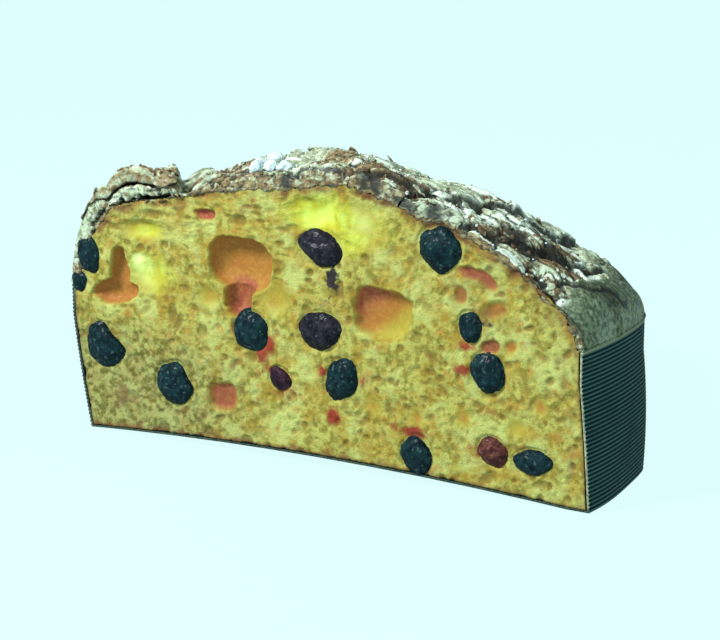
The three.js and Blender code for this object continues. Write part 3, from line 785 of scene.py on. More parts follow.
class CutFace:
    """The cut face as a grid over x and z, with its depth behind the cut plane and its colour masks."""

    def __init__(self):
        top = max(z for _, z in CRUMB_TOP) + CRUMB_UNDER_CRUST
        side = RIM_HALF_SPAN - PAPER_WALL - GAP
        self.columns = int(2 * side / CRUMB_STEP) + 1
        self.rows = int(top / CRUMB_STEP) + 1
        across, up = np.linspace(-side, side, self.columns), np.linspace(0, top, self.rows)
        across, z = np.meshgrid(across, up, indexing="ij")
        down = clamp(1 - z / LEAN_HEIGHT)
        narrowed = across * (1 - BASE_DRAW_IN * down * down / RIM_HALF_SPAN)
        self.x = narrowed + mix(LEAN_AT_RIM, LEAN_AT_BASE, down)
        floor = PAPER_FLOOR + GAP + floor_arch(self.x, 0)
        self.z = z + floor * (1 - z / top)
        self.above_floor = self.z - floor
        self.from_side = side - np.abs(across)
        self.depth = FACE_SINK + FACE_RELIEF * rough(self.x, self.z, 9, 31)
        names = ("pore", "hollow", "amber", "glow", "toast_and_shade", "juice", "smear", "dim")
        self.masks = {name: np.zeros_like(self.x) for name in names}

    def around(self, x, z, reach):
        """The part of the grid within reach of a place."""
        row = int(z / CRUMB_STEP)
        column = int(np.argmin(np.abs(self.x[:, min(row, self.rows - 1)] - x)))
        n = int(reach / CRUMB_STEP) + SPARE
        return slice(max(column - n, 0), column + n), slice(max(row - n, 0), row + n)

    def ellipse(self, place, half_size, tilt, unevenness=0.0, seed=0, power=2.0):
        """The grid around an ellipse, how far out each place is, with 1 on its outline, and the way to it."""
        part = self.around(*place, max(half_size) * 1.3)
        dx, dz = self.x[part] - place[0], self.z[part] - place[1]
        u, v = turned(dx, dz, tilt)
        u, v = np.abs(u) / half_size[0], np.abs(v) / half_size[1]
        out = (u**power + v**power) ** (1 / power)
        if unevenness:
            size = math.sqrt(half_size[0] * half_size[1])
            out = out * (1 + unevenness * rough(self.x[part], self.z[part], size, seed))
        return part, out, dx, dz


def box_ellipse(left, right, bottom, top):
    """The middle, and half the width and the height, of the ellipse in a box."""
    return ((left + right) / 2, (bottom + top) / 2), ((right - left) / 2, (top - bottom) / 2)


def add_pores(face):
    for count, smallest, largest, depth in PORE_KINDS:
        for x, z, size, pull, angle, sink in rng.random((count, 6)):
            radius = mix(smallest, largest, size**1.6)
            stretch = mix(1.0, 1.7, pull)
            place = (mix(PORES_FROM[0], PORES_TO[0], x), mix(PORES_FROM[1], PORES_TO[1], z))
            if place[1] > LEVEL_PORES_ABOVE and place[0] < 0:
                angle, stretch = 0.06 * (angle - 0.5), stretch * 1.25
            half_size = (radius * stretch, radius / stretch**0.5)
            part, out, _, _ = face.ellipse(place, half_size, 180 * angle)
            bowl = clamp(1 - out * out) ** 0.7
            deepest = depth * mix(0.55, 1.0, sink) * radius / largest
            raise_to(face.depth, part, deepest * bowl)
            # the pore mask paints shade into each pore, darker where it is deeper
            raise_to(face.masks["pore"], part, mix(0.25, 1.0, sink) * bowl * clamp(deepest / 0.8))


def add_pockets(face):
    hollow, amber = face.masks["hollow"], face.masks["amber"]
    for i, pocket in enumerate(POCKETS):
        place, half_size = box_ellipse(*pocket[:4])
        shape = (pocket.tilt, POCKET_UNEVENNESS, 50 + i, pocket.power)
        part, out, dx, dz = face.ellipse(place, half_size, *shape)
        bowl = clamp(1 - out**3.4) ** 0.6
        to_lower_right = clamp(0.5 + 0.5 * (dx / half_size[0] - dz / half_size[1]) / 1.6)
        inside = smoothstep(1 - out, -0.03, pocket.softness * mix(0.7, 1.7, to_lower_right))
        sunk = mix(face.depth[part], pocket.depth * bowl, inside)
        in_another = hollow[part] > 0.5
        face.depth[part] = np.where(in_another, np.maximum(sunk, face.depth[part]), sunk)
        face.masks["pore"][part] *= 1 - inside
        # the film's painted shade changes across the pocket, from amber_from at the upper left to amber_to at
        # the lower right
        film = mix(pocket.amber_from, pocket.amber_to, smoothstep(to_lower_right, 0.0, 1.0))
        amber[part] = mix(amber[part], film, inside)
        raise_to(hollow, part, inside)


def add_sockets(face):
    """A shallow groove round each berry."""
    for *box, tilt in BERRIES.values():
        place, (half_width, half_height) = box_ellipse(*box)
        grown = (half_width + SOCKET_GROOVE, half_height + SOCKET_GROOVE)
        part, out, _, _ = face.ellipse(place, grown, tilt)
        raise_to(face.depth, part, SOCKET_GROOVE * smoothstep(1.1 - out, 0, 0.16))


def add_stains(face):
    for x, z, half_width, half_height, strength in STAINS:
        part, out, _, _ = face.ellipse((x, z), (1.5 * half_width, 1.5 * half_height), 0)
        raise_to(face.masks["juice" if strength > 0 else "smear"], part, abs(strength) * clamp(1.25 - out))


# Painted glow, where the crumb is painted brighter for light shining through it: place, half width, half
# height, strength.
GLOWS = [
    (12, 92, 33, 9, 0.42),
    (4, 92, 17, 9, 1.0),
    (14, 84, 12, 7, 0.7),
    (-70, 64, 12, 9, 0.7),
    (-72, 79, 11, 4, 0.6),
    (30, 88, 9, 7, 0.35),
]
# How far toasted crumb reaches in.
TOAST_UNDER_CRUST = 1.7
FAINT_TOAST_UNDER_CRUST = 4.4
TOAST_AT_BASE = (1.1, 2.2)
TOAST_AT_SIDE = 1.0


def glow(face):
    """How much painted glow brightens the crumb where light shines through it."""
    total = np.zeros_like(face.x)
    streaks = 1 + 0.3 * rough(face.x, face.z / 2.2, 5, 90)  # drawn out upwards
    for *ellipse, strength in GLOWS:
        total = np.maximum(total, strength * clamp(1.3 - out_of(face.x, face.z, *ellipse) * streaks))
    return total


def toast_and_shade(face):
    """How brown the crumb is: toasted by the crust, the base and the sides, and painted brown in its small
    hollows, partly as painted shade.
    """
    ragged = 1 + 0.7 * rough(face.x, face.z, 4, 70)
    under_crust, _ = polyline_distance(face.x, face.z, CRUMB_TOP)
    scorched = clamp(0.55 + 0.6 * rough(face.x, face.z, 6, 73))
    to_right = smoothstep(face.x, 20, 60)
    strong = bell(np.maximum(under_crust * ragged - 0.3, 0), TOAST_UNDER_CRUST)
    faint = bell(under_crust * ragged, FAINT_TOAST_UNDER_CRUST)
    total = clamp(scorched * mix(1.0, 1.35, to_right) * strong)
    total = np.maximum(total, mix(0.2, 0.5, to_right) * faint)
    burnt = clamp(0.5 + 0.9 * rough(face.x, face.z, 5, 76)) * smoothstep(60 - face.x, -60, 120)
    at_base = bell(face.above_floor * ragged, mix(*TOAST_AT_BASE, burnt))
    total = np.maximum(total, mix(0.6, 1.0, burnt) * at_base)
    for *ellipse, strength in BROWN_SPOTS:
        total = np.maximum(total, strength * bell(out_of(face.x, face.z, *ellipse) * ragged, 1.1))
    return np.maximum(total, 0.6 * bell(face.from_side * ragged, TOAST_AT_SIDE))


def make_crumb():
    face = CutFace()
    add_pores(face)
    add_sockets(face)
    add_pockets(face)
    add_stains(face)
    face.masks["glow"] = glow(face)
    # painted shade, darker toward the lower left
    face.masks["dim"] = smoothstep(-face.x, 0, 80) * smoothstep(60 - face.z, 0, 40)  # at the lower left
    face.masks["toast_and_shade"] = toast_and_shade(face)
    within = face.z <= np.interp(face.x, *np.array(CRUMB_TOP).T) + CRUMB_UNDER_CRUST
    faces = grid_faces(face.columns, face.rows)
    faces = faces[within.ravel()[faces].all(1)]
    used, faces = np.unique(faces, return_inverse=True)
    faces = faces.reshape(-1, 4)
    x, z, depth = (a.ravel()[used] for a in (face.x, face.z, face.depth))
    rim = boundary_loop(faces)
    back_z = mix(CRUMB_CENTRE[1], z[rim], CRUMB_NARROWING)
    front = np.stack([x, depth, z], 1)
    back = np.stack([CRUMB_NARROWING * x[rim], np.full(len(rim), CRUMB_DEPTH), back_z], 1)
    n = len(rim)
    lid = [len(front) + i for i in range(n)]
    walls = [(rim[i], lid[i], lid[(i + 1) % n], rim[(i + 1) % n]) for i in range(n)]
    masks = {name: values.ravel()[used] for name, values in face.masks.items()}
    masks = {name: np.concatenate([values, values[rim]]) for name, values in masks.items()}
    faces = [*faces.tolist(), *walls, lid]
    piece = add_mesh("cake_crumb", np.concatenate([front, back]), faces, [crumb_material()], masks)
    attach(piece, "root")
    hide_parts("cake")


def boundary_loop(faces):
    """The outer edge of a sheet of quads, as one loop of point numbers."""
    ends = np.concatenate([np.stack([faces[:, k], faces[:, (k + 1) % 4]], 1) for k in range(4)])
    there = {(a, b) for a, b in ends.tolist()}
    following = {a: b for a, b in there if (b, a) not in there}
    start = next(iter(sorted(following)))
    loop = [start]
    while following[loop[-1]] != start:
        loop.append(following[loop[-1]])
    return loop


# ---- Crust ----

CRUST_COLUMNS = 370
CRUST_ROWS = 205
STRIP_ROWS = 12  # rows on the cut edge of the crust
UNDER_ROWS = 12
CRUST_THICKNESS = 5.0
UNDER_NARROWING = 0.985
CHIP = (0.1, 0.8, 1.8)  # how far the crust's edge at the cut is chipped off: least, mostly, most
# The crust's edge on the paper's rim, from outside to inside: height over the rim, and inset.
RIM_LIP = [(0.75, -0.35), (0.35, -0.1), (0.2, 0.6), (0.2, 2.4)]
RELIEF_FULL_AT = 13  # how far in from the wall the fine relief is full
LEDGE_REACH = 13  # a ledge's step dies out over this distance
RIM_BAND = 11  # the crust is smooth and matte this far in from the rim
GLAZE_PLATE = (13, 5.2)  # length along the curved crust, and depth
GLAZE_BIT = (3.8, 2.5)
EDGE_CRUMB = (6, 2.2)  # length and height on the cut edge
CRUST_MASKS = ("glaze", "icing", "crack_and_shade", "crumbly", "matte_and_shade", "tan")

# Ledges where one layer of crust ends over the next: the line in plan, and the height of the step. The upper
# layer lies to the left of the line's direction.
LEDGES = [
    ([(12, -2), (25.7, 2.2), (37, 6.5), (49.4, 9.5), (58, 18), (74, 38), (80, 60)], 2.6),
    ([(44, -3), (56, 1), (69.6, 7), (81, 18), (89, 27), (93, 44)], 2.2),
    ([(86, 6), (97, 17), (101, 24), (104, 36)], 1.3),
    ([(-52, 26), (-30, 30), (-8, 38), (14, 34)], 1.6),
    ([(-40, 4), (-28, 3.4), (-8, 2.6), (10, 1.4)], 1.4),
]
# Regions of the crust in plan: place, half width, half depth, and strength.
ICED = [
    (50, 4, 7, 2.4, 1.0),
    (61, 12, 8, 4, 1.0),
    (72, 19, 8, 4.4, 1.0),
    (40, 9, 12, 1.4, 1.0),
    (83, 10, 5, 3, 0.5),
    (-55, 3, 5, 5, 0.9),
    (20, 16, 22, 4, 0.7),
]
# The dark regions are painted shade: hollows and the shadow under lifted plates of crust.
DARK = [
    (74, 12, 7, 4.2, 0.9),
    (85, 22, 7, 3.6, 0.8),
    (102, 27, 4, 8, 0.6),
    (16, 1, 6, 2, 0.6),
    (36, 5.5, 13, 1.8, 0.5),
]
# The matte regions on the right shoulder are unglazed crust, painted darker in part as shade.
MATTE_AND_SHADE = [(104, 15, 7, 13, 1.0), (106, 34, 5, 12, 0.8)]
CRUMBLY = [
    (6, 13, 8, 6, 0.8),
    (22, 6, 9, 4, 0.7),
    (-36, 4, 9, 8, 0.7),
    (-68, 3, 9, 4.5, 0.85),
    (-82, 4, 5, 3, 0.5),
]
PALE = [
    (-10, 9, 11, 6, 1.0),
    (8, 5, 6, 3, 0.7),
    (-88, 9, 15, 14, 0.7),
    (-66, 22, 12, 9, 0.6),
    (0, 24, 26, 7, 0.8),
    (30, 22, 16, 3, 0.6),
]


def regions(x, y, spots):
    """How much a place belongs to a list of regions with ragged outlines."""
    total = np.zeros_like(x)
    ragged = 1 + 0.3 * rough(x, y, 4, 200)
    for *ellipse, strength in spots:
        total = np.maximum(total, strength * clamp(1.6 - out_of(x, y, *ellipse) * ragged))
    return total


# The flap that has lifted at the left: from x to x along the cut, how far back, and how thick.
FLAP_ROOT = -101
FLAP_TIP = -56.5
FLAP_BACK = 31
FLAP_THICKNESS = 7.0
FLAP_GAP = 1.5
FLAP_TIP_SLANT = 0.69  # how much its end runs to the left for each millimetre back
# The dip in the crust at the flap's end.
DIP_REACH = 26
DIP_DEPTH = 5.6
DIP_FROM_TIP = 2.2
DIP_WIDTH = 8.0


def flap_tip(y):
    """Where the flap ends at its right. Its end runs back to the left, as its outline shows."""
    return FLAP_TIP - FLAP_TIP_SLANT * clamp(y, 0, FLAP_BACK + DIP_REACH)


def flap_room(x, y):
    """How far the crust lies lower under the flap than the flap's top, and in the dip at the flap's end."""
    tip = flap_tip(y)
    along = smoothstep(x, FLAP_ROOT, FLAP_ROOT + 17) * (1 - 0.62 * smoothstep(x, tip - 15, tip))
    along = along * (1 - smoothstep(x, tip - 1, tip + 3))
    under = FLAP_THICKNESS * along * (1 - smoothstep(y, FLAP_BACK - 12, FLAP_BACK + 3))
    from_deepest = x - tip - DIP_FROM_TIP
    dip = bell(from_deepest, np.where(from_deepest < 0, DIP_FROM_TIP, DIP_WIDTH))
    return under + DIP_DEPTH * dip * (1 - smoothstep(y, FLAP_BACK, FLAP_BACK + DIP_REACH))


def ledge_relief(x, y):
    """Heights of the ledges, and masks of the dark gap at their foot, painted shade, and of the pale lip on
    top, a painted highlight.
    """
    height, gap, lip = np.zeros_like(x), np.zeros_like(x), np.zeros_like(x)
    wander_x = x + 1.8 * rough(x, y, 8, 301, 2)
    wander_y = y + 1.3 * rough(x, y, 6, 302, 2)
    for line, step in LEDGES:
        d, side = polyline_distance(wander_x, wander_y, line)
        signed = d * side
        profile = 2 * smoothstep(signed, -1.1, 0.5) - 1 - 0.5 * bell(signed + 1.1, 0.9)
        height = height + step * 0.5 * np.exp(-d / LEDGE_REACH) * profile
        gap = np.maximum(gap, bell(signed + 0.9, 0.45 + 0.3 * step))
        lip = np.maximum(lip, bell(signed - 1.4, 1.0))
    return height, gap, lip


UNROLLED_X = np.linspace(-RIM_HALF_SPAN, RIM_HALF_SPAN, 1200)
UNROLLED_LENGTH = length_along(UNROLLED_X, crust_height(UNROLLED_X, 0 * UNROLLED_X))


def unrolled(x):
    """x as a length along the curved crust, so that the plates of the steep shoulders aren't drawn out."""
    return np.interp(x, UNROLLED_X, UNROLLED_LENGTH)


def broken_glaze(u, y):
    """Plates of glazed crust and the smaller bits that they break into: the relief, a number of each plate's
    own, and masks of the cracks between plates and between bits."""
    warp_u = u + 3.0 * rough(u, y, 12, 101, 2)
    warp_y = y + 1.8 * rough(u, y, 8, 103, 2)
    inside, own, up = cells(warp_u / GLAZE_PLATE[0], warp_y / GLAZE_PLATE[1], 110)
    crack_and_shade = bell(inside, 0.11)
    inside_bit, bit_own, _ = cells(warp_u / GLAZE_BIT[0], warp_y / GLAZE_BIT[1], 120)
    bit_crack = bell(inside_bit, 0.13)
    broken = 0.35 + 0.65 * smoothstep(rough(u, y, 15, 135, 2), -0.2, 0.5)
    plates = 1.0 * (own - 0.5) - 0.8 * up + 0.6 * smoothstep(inside, 0.02, 0.4) - 0.7 * crack_and_shade
    bits = broken * (0.9 * (bit_own - 0.5) - 0.3 * bit_crack)
    return plates + bits, own, crack_and_shade, bit_crack * broken


def crust_relief(x, y):
    """Fine relief of the crust's top, along its normal, with the colour masks."""
    u = unrolled(x)
    relief, own, crack_and_shade, bit_crack = broken_glaze(u, y)
    ledge, gap, lip = ledge_relief(x, y)
    wall, _ = polyline_distance(x, y, WALL_LINE)
    behind = smoothstep(y, 26, 50)  # the crust behind is less broken than by the cut
    bare = mix(0.36, 0.16, behind)
    glazed = smoothstep(own + 0.25 * rough(u, y, 9, 130), bare - 0.1, bare + 0.1) * (1 - 0.5 * bit_crack)
    iced, dark, matte_and_shade, crumbly, pale = (regions(x, y, spots) for spots in (ICED, DARK, MATTE_AND_SHADE, CRUMBLY, PALE))
    by_rim = smoothstep(RIM_BAND + 3 * rough(u, y, 10, 137, 2) - wall, -4, 4)
    by_rim = by_rim * smoothstep(x + 0.6 * y, -94, -60)  # not by the flap
    matte_and_shade = np.maximum(matte_and_shade, 0.9 * by_rim)
    calm = 1 - np.maximum(0.68 * matte_and_shade, 0.7 * pale)
    grains = crumbly * 0.45 * rough(u, y, 1.8, 150, 2)
    height = calm * (relief + 0.2 * rough(u, y, 2.2, 140, 2)) + ledge + grains
    white = mix(0.8, 0.5, behind) * smoothstep(own, 0.64, 0.84)
    # the pale lip is a painted highlight in glaze and icing; the dark regions, the gaps under ledges and
    # partly the cracks are painted shade
    masks = {
        "glaze": clamp(np.maximum.reduce([glazed, iced, pale, 0.8 * lip]) - 0.9 * dark - 0.8 * crumbly),
        "icing": clamp(np.maximum.reduce([white, iced, 0.7 * lip]) - dark),
        "crack_and_shade": clamp(np.maximum.reduce([0.9 * crack_and_shade * calm, 0.5 * bit_crack * calm, gap, 0.95 * dark])),
        "crumbly": crumbly,
        "matte_and_shade": matte_and_shade,
        "tan": bell(x - flap_tip(y) + 2, 3.4) * (y < FLAP_BACK) * (x < flap_tip(y) + 0.5),
    }
    return height, masks


def row_spacing(count):
    """Shares from the cut edge to the rear wall, closer together near both."""
    t = np.linspace(0, 1, count)
    density = 1 / ((0.42 + 0.9 * smoothstep(t, 0.1, 0.5)) * (1 - 0.92 * smoothstep(t, 0.72, 1)))
    at = np.concatenate([[0], np.cumsum(1 / (density[:-1] + density[1:]))])
    return at / at[-1]


def upward_normals(points):
    """Normals of a grid of points, by the differences along its columns and rows."""
    normal = np.cross(np.gradient(points, axis=0), np.gradient(points, axis=1))
    normal = normal / np.maximum(np.linalg.norm(normal, axis=2, keepdims=True), 1e-9)
    return normal * np.sign(normal[:, :, 2:3])


def top_outline(count):
    """x at points evenly along the top outline of the cut, from the left rim to the right one."""
    x = -RIM_HALF_SPAN * np.cos(np.linspace(0.004, math.pi - 0.004, 3000))
    at = length_along(x, crust_height(x, 0 * x))
    return np.interp(np.linspace(0, at[-1], count), at, x)


def crumb_edge(x, z):
    """The crumb's edge in line with places on the crust's outline, seen from the middle of the crumb."""
    line = np.array(CRUMB_TOP, float)
    dense = np.linspace(0, len(line) - 1, 900)
    edge_x, edge_z = (np.interp(dense, np.arange(len(line)), column) for column in line.T)
    angle = np.arctan2(edge_x - CRUMB_CENTRE[0], edge_z - CRUMB_CENTRE[1])
    wanted = np.arctan2(x - CRUMB_CENTRE[0], z - CRUMB_CENTRE[1])
    return np.interp(wanted, angle, edge_x), np.interp(wanted, angle, edge_z)


def joined_masks(*parts):
    """The crust's masks side by side for parts of a grid. A part is its points and the masks that it has."""
    return {
        name: np.concatenate([masks.get(name, np.zeros(points.shape[:2])) for points, masks in parts], 1)
        for name in CRUST_MASKS
    }


def crust_grid():
    """x and y on the crust, from the cut to the rear wall, and the points round the wall that it ends at."""
    across = top_outline(CRUST_COLUMNS)
    rear = evenly_along(PLAN, CRUST_COLUMNS)
    least, mostly, most = CHIP
    chipped = clamp(mostly + 0.6 * rough(across, 0 * across, 4, 171), least, most)[:, None]
    back = row_spacing(CRUST_ROWS)[None, :]
    x = mix(across[:, None], rear[:, :1], back)
    return x, mix(chipped, np.maximum(rear[:, 1:2], chipped), back), rear


def make_crust():
    x, y, rear = crust_grid()
    base = crust_top(x, y) - flap_room(x, y)
    top = np.stack([x + LEAN_AT_RIM, y, base], 2)
    relief, masks = crust_relief(x, y)
    wall, _ = polyline_distance(x, y, WALL_LINE)
    relief = relief * smoothstep(wall, 1, RELIEF_FULL_AT)
    top = top + upward_normals(top) * relief[:, :, None]
    top[:, :, 1] = np.maximum(top[:, :, 1], y[:, :1])
    lip = rim_lip(rear)
    under = crust_underside(x, y, base)
    strip, strip_masks = cut_edge(top[:, 0])
    hidden = {name: np.repeat(masks[name][:, -1:], lip.shape[1] + under.shape[1], 1) for name in masks}
    masks = joined_masks((top, masks), (np.concatenate([lip, under], 1), hidden), (strip, strip_masks))
    points, faces = closed_body(np.concatenate([top, lip, under, strip], 1))
    piece = add_mesh("cake_crust", points, faces, [crust_material()], masks)
    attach(piece, "root")
    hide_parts("cake")


def rim_lip(rear):
    """The crust's edge where it rests on the paper's rim, as rows round the rear wall."""
    rows = np.stack([wall_row(rear, RIM_HEIGHT + above, inset) for above, inset in RIM_LIP], 1)
    rows[:, :, 1] = np.maximum(rows[:, :, 1], 0)
    return rows


def crust_underside(x, y, base):
    """Rows of the crust's hidden underside, from the rear wall to just behind the cut."""
    pick = np.linspace(x.shape[1] - 8, 4, UNDER_ROWS).astype(int)
    z = np.maximum(base[:, pick] - CRUST_THICKNESS, RIM_HEIGHT + GAP)
    return np.stack([UNDER_NARROWING * x[:, pick] + LEAN_AT_RIM, y[:, pick], z], 2)


def dark_gaps(x, s, ragged, inside, own):
    """How much painted shade darkens a place on the crust's cut edge, in a hollow between its crumbs."""
    gap = 0.75 * bell(inside, 0.16)
    for at, spread, strength in DARK_EDGE:
        patchy = smoothstep(own + 0.4 * ragged, -0.2, 0.3) * smoothstep(s, 0.1, 0.3)
        gap = np.maximum(gap, strength * bell(x - at, spread) * patchy)
    return gap


def press_crevices(x, y, z, ragged, gap):
    """y and the dark gaps again, with the crevices pressed into the crust's cut edge and painted dark in them
    as shade.
    """
    for (at_x, at_z), half_length, half_thickness, depth, slope in CREVICES:
        u, v = turned(x - at_x, z - at_z + 1.4 * ragged, slope)
        half = half_thickness * clamp(0.8 + 0.8 * rough(x, z, 5, 176), 0.25, 1.6)
        out = np.hypot(u / half_length, v / half)
        y = np.maximum(y, depth * clamp(1 - out * out) ** 0.5)
        gap = np.maximum(gap, smoothstep(1.25 - out, 0, 0.4))
    return y, gap


def cut_edge(outer):
    """The strip between the crumb and the crust's outline on the cut, and its masks."""
    inner_x, inner_z = (edge[:, None] for edge in crumb_edge(outer[:, 0], outer[:, 2]))
    s = np.linspace(0, 1, STRIP_ROWS + 2)[None, :-1]
    x, z = mix(inner_x, outer[:, :1], s), mix(inner_z, outer[:, 2:3], s)
    from_crumb = s * np.hypot(outer[:, :1] - inner_x, outer[:, 2:3] - inner_z)
    ragged = rough(x, z, 3.0, 160)
    y = 0.4 * rough(x, z, 1.6, 170) - 0.3 + 1.6 * bell(s, 0.05) + outer[:, 1:2] * s**3
    x, z = x + 0.7 * ragged * (1 - s), z + 1.3 * ragged * (1 - s)
    inside, own, _ = cells((x + ragged) / EDGE_CRUMB[0], (z + 0.6 * ragged) / EDGE_CRUMB[1], 165)
    y, gap = press_crevices(x, y, z, ragged, dark_gaps(x, s, ragged, inside, own))
    brown = np.interp(x + 2 * ragged, *np.array(BROWN_EDGE).T) * clamp(1 + 0.7 * rough(x, z, 3.2, 175))
    glazed = smoothstep(from_crumb + 1.2 * ragged + 2.4 * (own - 0.5), 1.6, 3.2)
    masks = {
        "glaze": glazed * (1 - 0.85 * brown),
        "icing": 0.5 * smoothstep(own, 0.7, 0.9),
        # painted shade in the gaps, and the dark layer of the crust along the crumb
        "crack_and_shade": clamp(np.maximum(gap, 0.6 * bell(from_crumb - 0.6 + 0.5 * ragged, 0.8))),
        "crumbly": np.maximum(0.9 * bell(from_crumb + 0.8 * ragged, 2.6), brown),
    }
    return np.stack([x, y, z], 2), masks


# How brown and crumbly the crust's cut edge is along x, without its glaze.
BROWN_EDGE = [
    (-106, 0.2), (-58, 0.25), (-50, 0.8), (-15, 0.8), (-9, 0.55), (4, 0.55), (9, 0.85),
    (26, 0.85), (34, 0.5), (40, 0.1), (54, 0.15), (62, 0.5), (100, 0.5),
]

# Hollows in the crust's cut edge painted dark as shade: x, spread and strength.
DARK_EDGE = [
    (-11, 3, 0.9), (23, 6, 0.95), (36, 6, 0.95), (48, 5, 0.9),
    (70, 6, 0.6), (-60, 8, 0.4), (97, 4, 0.7),
]

# Crevices on the cut between layers of crust at the left: place, half length, half thickness, depth, slope.
CREVICES = [
    ((-74, 90.2), 14, 1.5, 7, 14),
    ((-94, 80), 8, 1.2, 5, 60),
]

FLAP_COLUMNS = 90
FLAP_ROWS = 56
FLAP_FRONT_ROWS = 7
FLAP_ROUNDING = 2.6  # over this distance from its edges the flap thins to nothing


def flap_front(top, bottom):
    """The flap's front face between its upper and its lower edge, and its masks."""
    s = np.linspace(0, 1, FLAP_FRONT_ROWS + 2)[None, 1:-1]
    x = mix(bottom[:, :1], top[:, :1], s)
    z = mix(bottom[:, 2:], top[:, 2:], s)
    mottled = 0.5 + 0.5 * rough(x, z, 4, 195)
    masks = {
        "glaze": clamp(0.1 + mottled),
        "crack_and_shade": 0.6 * clamp(rough(x, z, 2.4, 197) - 0.3),
        "crumbly": clamp(1.0 - mottled),
        "tan": bell(x - LEAN_AT_RIM - FLAP_TIP + 3, 6),
    }
    return np.stack([x, -0.2 + 0.5 * rough(x, z, 1.6, 190) - 0.3, z], 2), masks


def make_flap():
    """The lifted flap at the left, a closed slab over its own gap."""
    y = np.linspace(0, FLAP_BACK, FLAP_ROWS)[None, :]
    x = mix(FLAP_ROOT + 1, flap_tip(y), np.linspace(0, 1, FLAP_COLUMNS)[:, None])
    y = y + 0 * x
    room = flap_room(np.minimum(x, flap_tip(y) - 2.5), y)
    thick = np.maximum(room - FLAP_GAP * smoothstep(x, FLAP_ROOT + 8, FLAP_ROOT + 26), 0.4)
    middle = crust_top(x, y) - thick / 2
    from_edges = np.minimum(flap_tip(y) - x, FLAP_BACK - y) + 0.02
    rounded = np.sqrt(clamp(1 - (1 - clamp(from_edges / FLAP_ROUNDING)) ** 2))
    half = thick / 2 * rounded
    relief, masks = crust_relief(x, y)
    top = middle + half + relief * 0.8 * rounded
    bottom = np.minimum(middle - half + 0.3 * rough(x, y, 3, 180), top - 0.25)
    top = np.stack([x + LEAN_AT_RIM, y - 0.2, top], 2)
    bottom = np.stack([x + LEAN_AT_RIM, y, bottom], 2)
    front, front_masks = flap_front(top[:, 0], bottom[:, 0])
    # painted shade: the flap's underside is painted dark
    below = {"crack_and_shade": 0 * x + 0.7}
    masks = joined_masks((top, masks), (bottom, below), (front, front_masks))
    points, faces = closed_body(np.concatenate([top, bottom[:, ::-1], front], 1))
    piece = add_mesh("crust_flap", points, faces, [crust_material()], masks)
    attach(piece, "root")
    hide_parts("cake")


# ---- Flakes, crumbs and sugar on the crust ----

CLEAN_FROM_X = 90  # the right shoulder is smooth and clean
STREWN_TO_X = 104
STREWN_FRONT = 40  # how far back the front strip goes
STREWN_BACK = 150
FREE_OF_WALL = 3
SLOPE_STEP = 2.5
FLAKES = 170
FLAKE_SIDES = 7
FLAKE_LENGTHS = (1.2, 3.6)  # from the middle out, as are the widths
FLAKE_WIDTHS = (0.8, 1.8)
FLAKE_THICKNESSES = (0.25, 0.6)
FLAKE_SINK = 0.3
CRUMBS = 650
CRUMB_RADII = (0.25, 0.8)
GRAINS = 110
GRAIN_RADII = (0.3, 0.75)
# How far a lump's middle is above the crust, as a share of its radius.
CRUMB_RISE = 0.1
SUGAR_RISE = 0.3
NUGGETS = [  # x, y and radius
    (-24, 6, 3.9),
    (-21, 11, 2.7),
    (-13.5, 5.4, 3.0),
    (-18.6, 4, 2.2),
    (-27.5, 11, 2.2),
    (-66, 58, 3.2),
    (-12, 72, 3.4),
    (24, 92, 3),
    (-20, 112, 2.8),
]


def crust_places(count, front_share):
    """Random places on the crust, a share of them in the strip behind the cut."""
    tries = 6 * count
    x = rng.uniform(-STREWN_TO_X, STREWN_TO_X, tries)
    deep = np.where(rng.random(tries) < front_share, STREWN_FRONT, STREWN_BACK)
    y = rng.uniform(0.5, 1, tries) * deep * rng.random(tries) + 0.5
    wall_x, wall_y = PLAN[::-1, 0], PLAN[::-1, 1]
    reach = np.interp(np.arctan2(y, x), np.arctan2(wall_y, wall_x), np.hypot(wall_x, wall_y))
    kept = np.nonzero((np.hypot(x, y) < reach - FREE_OF_WALL) & (x < CLEAN_FROM_X))[0][:count]
    return x[kept], y[kept]


def surface_at(x, y):
    """The crust's height with its fine relief, its slopes along x and y, and how glazed it is."""
    high = crust_top(x, y)
    slope_x = (crust_top(x + SLOPE_STEP, y) - high) / SLOPE_STEP
    slope_y = (crust_top(x, y + SLOPE_STEP) - high) / SLOPE_STEP
    relief, masks = crust_relief(x, y)
    return high + relief - flap_room(x, y) * (x > flap_tip(y)), slope_x, slope_y, masks["glaze"]


def flake_outline(length, width, turn):
    angle = np.linspace(0, 2 * np.pi, FLAKE_SIDES, endpoint=False) + rng.uniform(-0.25, 0.25, FLAKE_SIDES)
    reach = rng.uniform(0.65, 1.1, FLAKE_SIDES)
    u, v = length * reach * np.cos(angle), width * reach * np.sin(angle)
    return u * math.cos(turn) - v * math.sin(turn), u * math.sin(turn) + v * math.cos(turn)


def flake_faces(start):
    """Faces of one flake whose lower and upper outline are numbered on from start."""
    lower = [start + k for k in range(FLAKE_SIDES)]
    upper = [k + FLAKE_SIDES for k in lower]
    around = [(k, (k + 1) % FLAKE_SIDES) for k in range(FLAKE_SIDES)]
    return [lower[::-1], upper, *([lower[k], lower[n], upper[n], upper[k]] for k, n in around)]


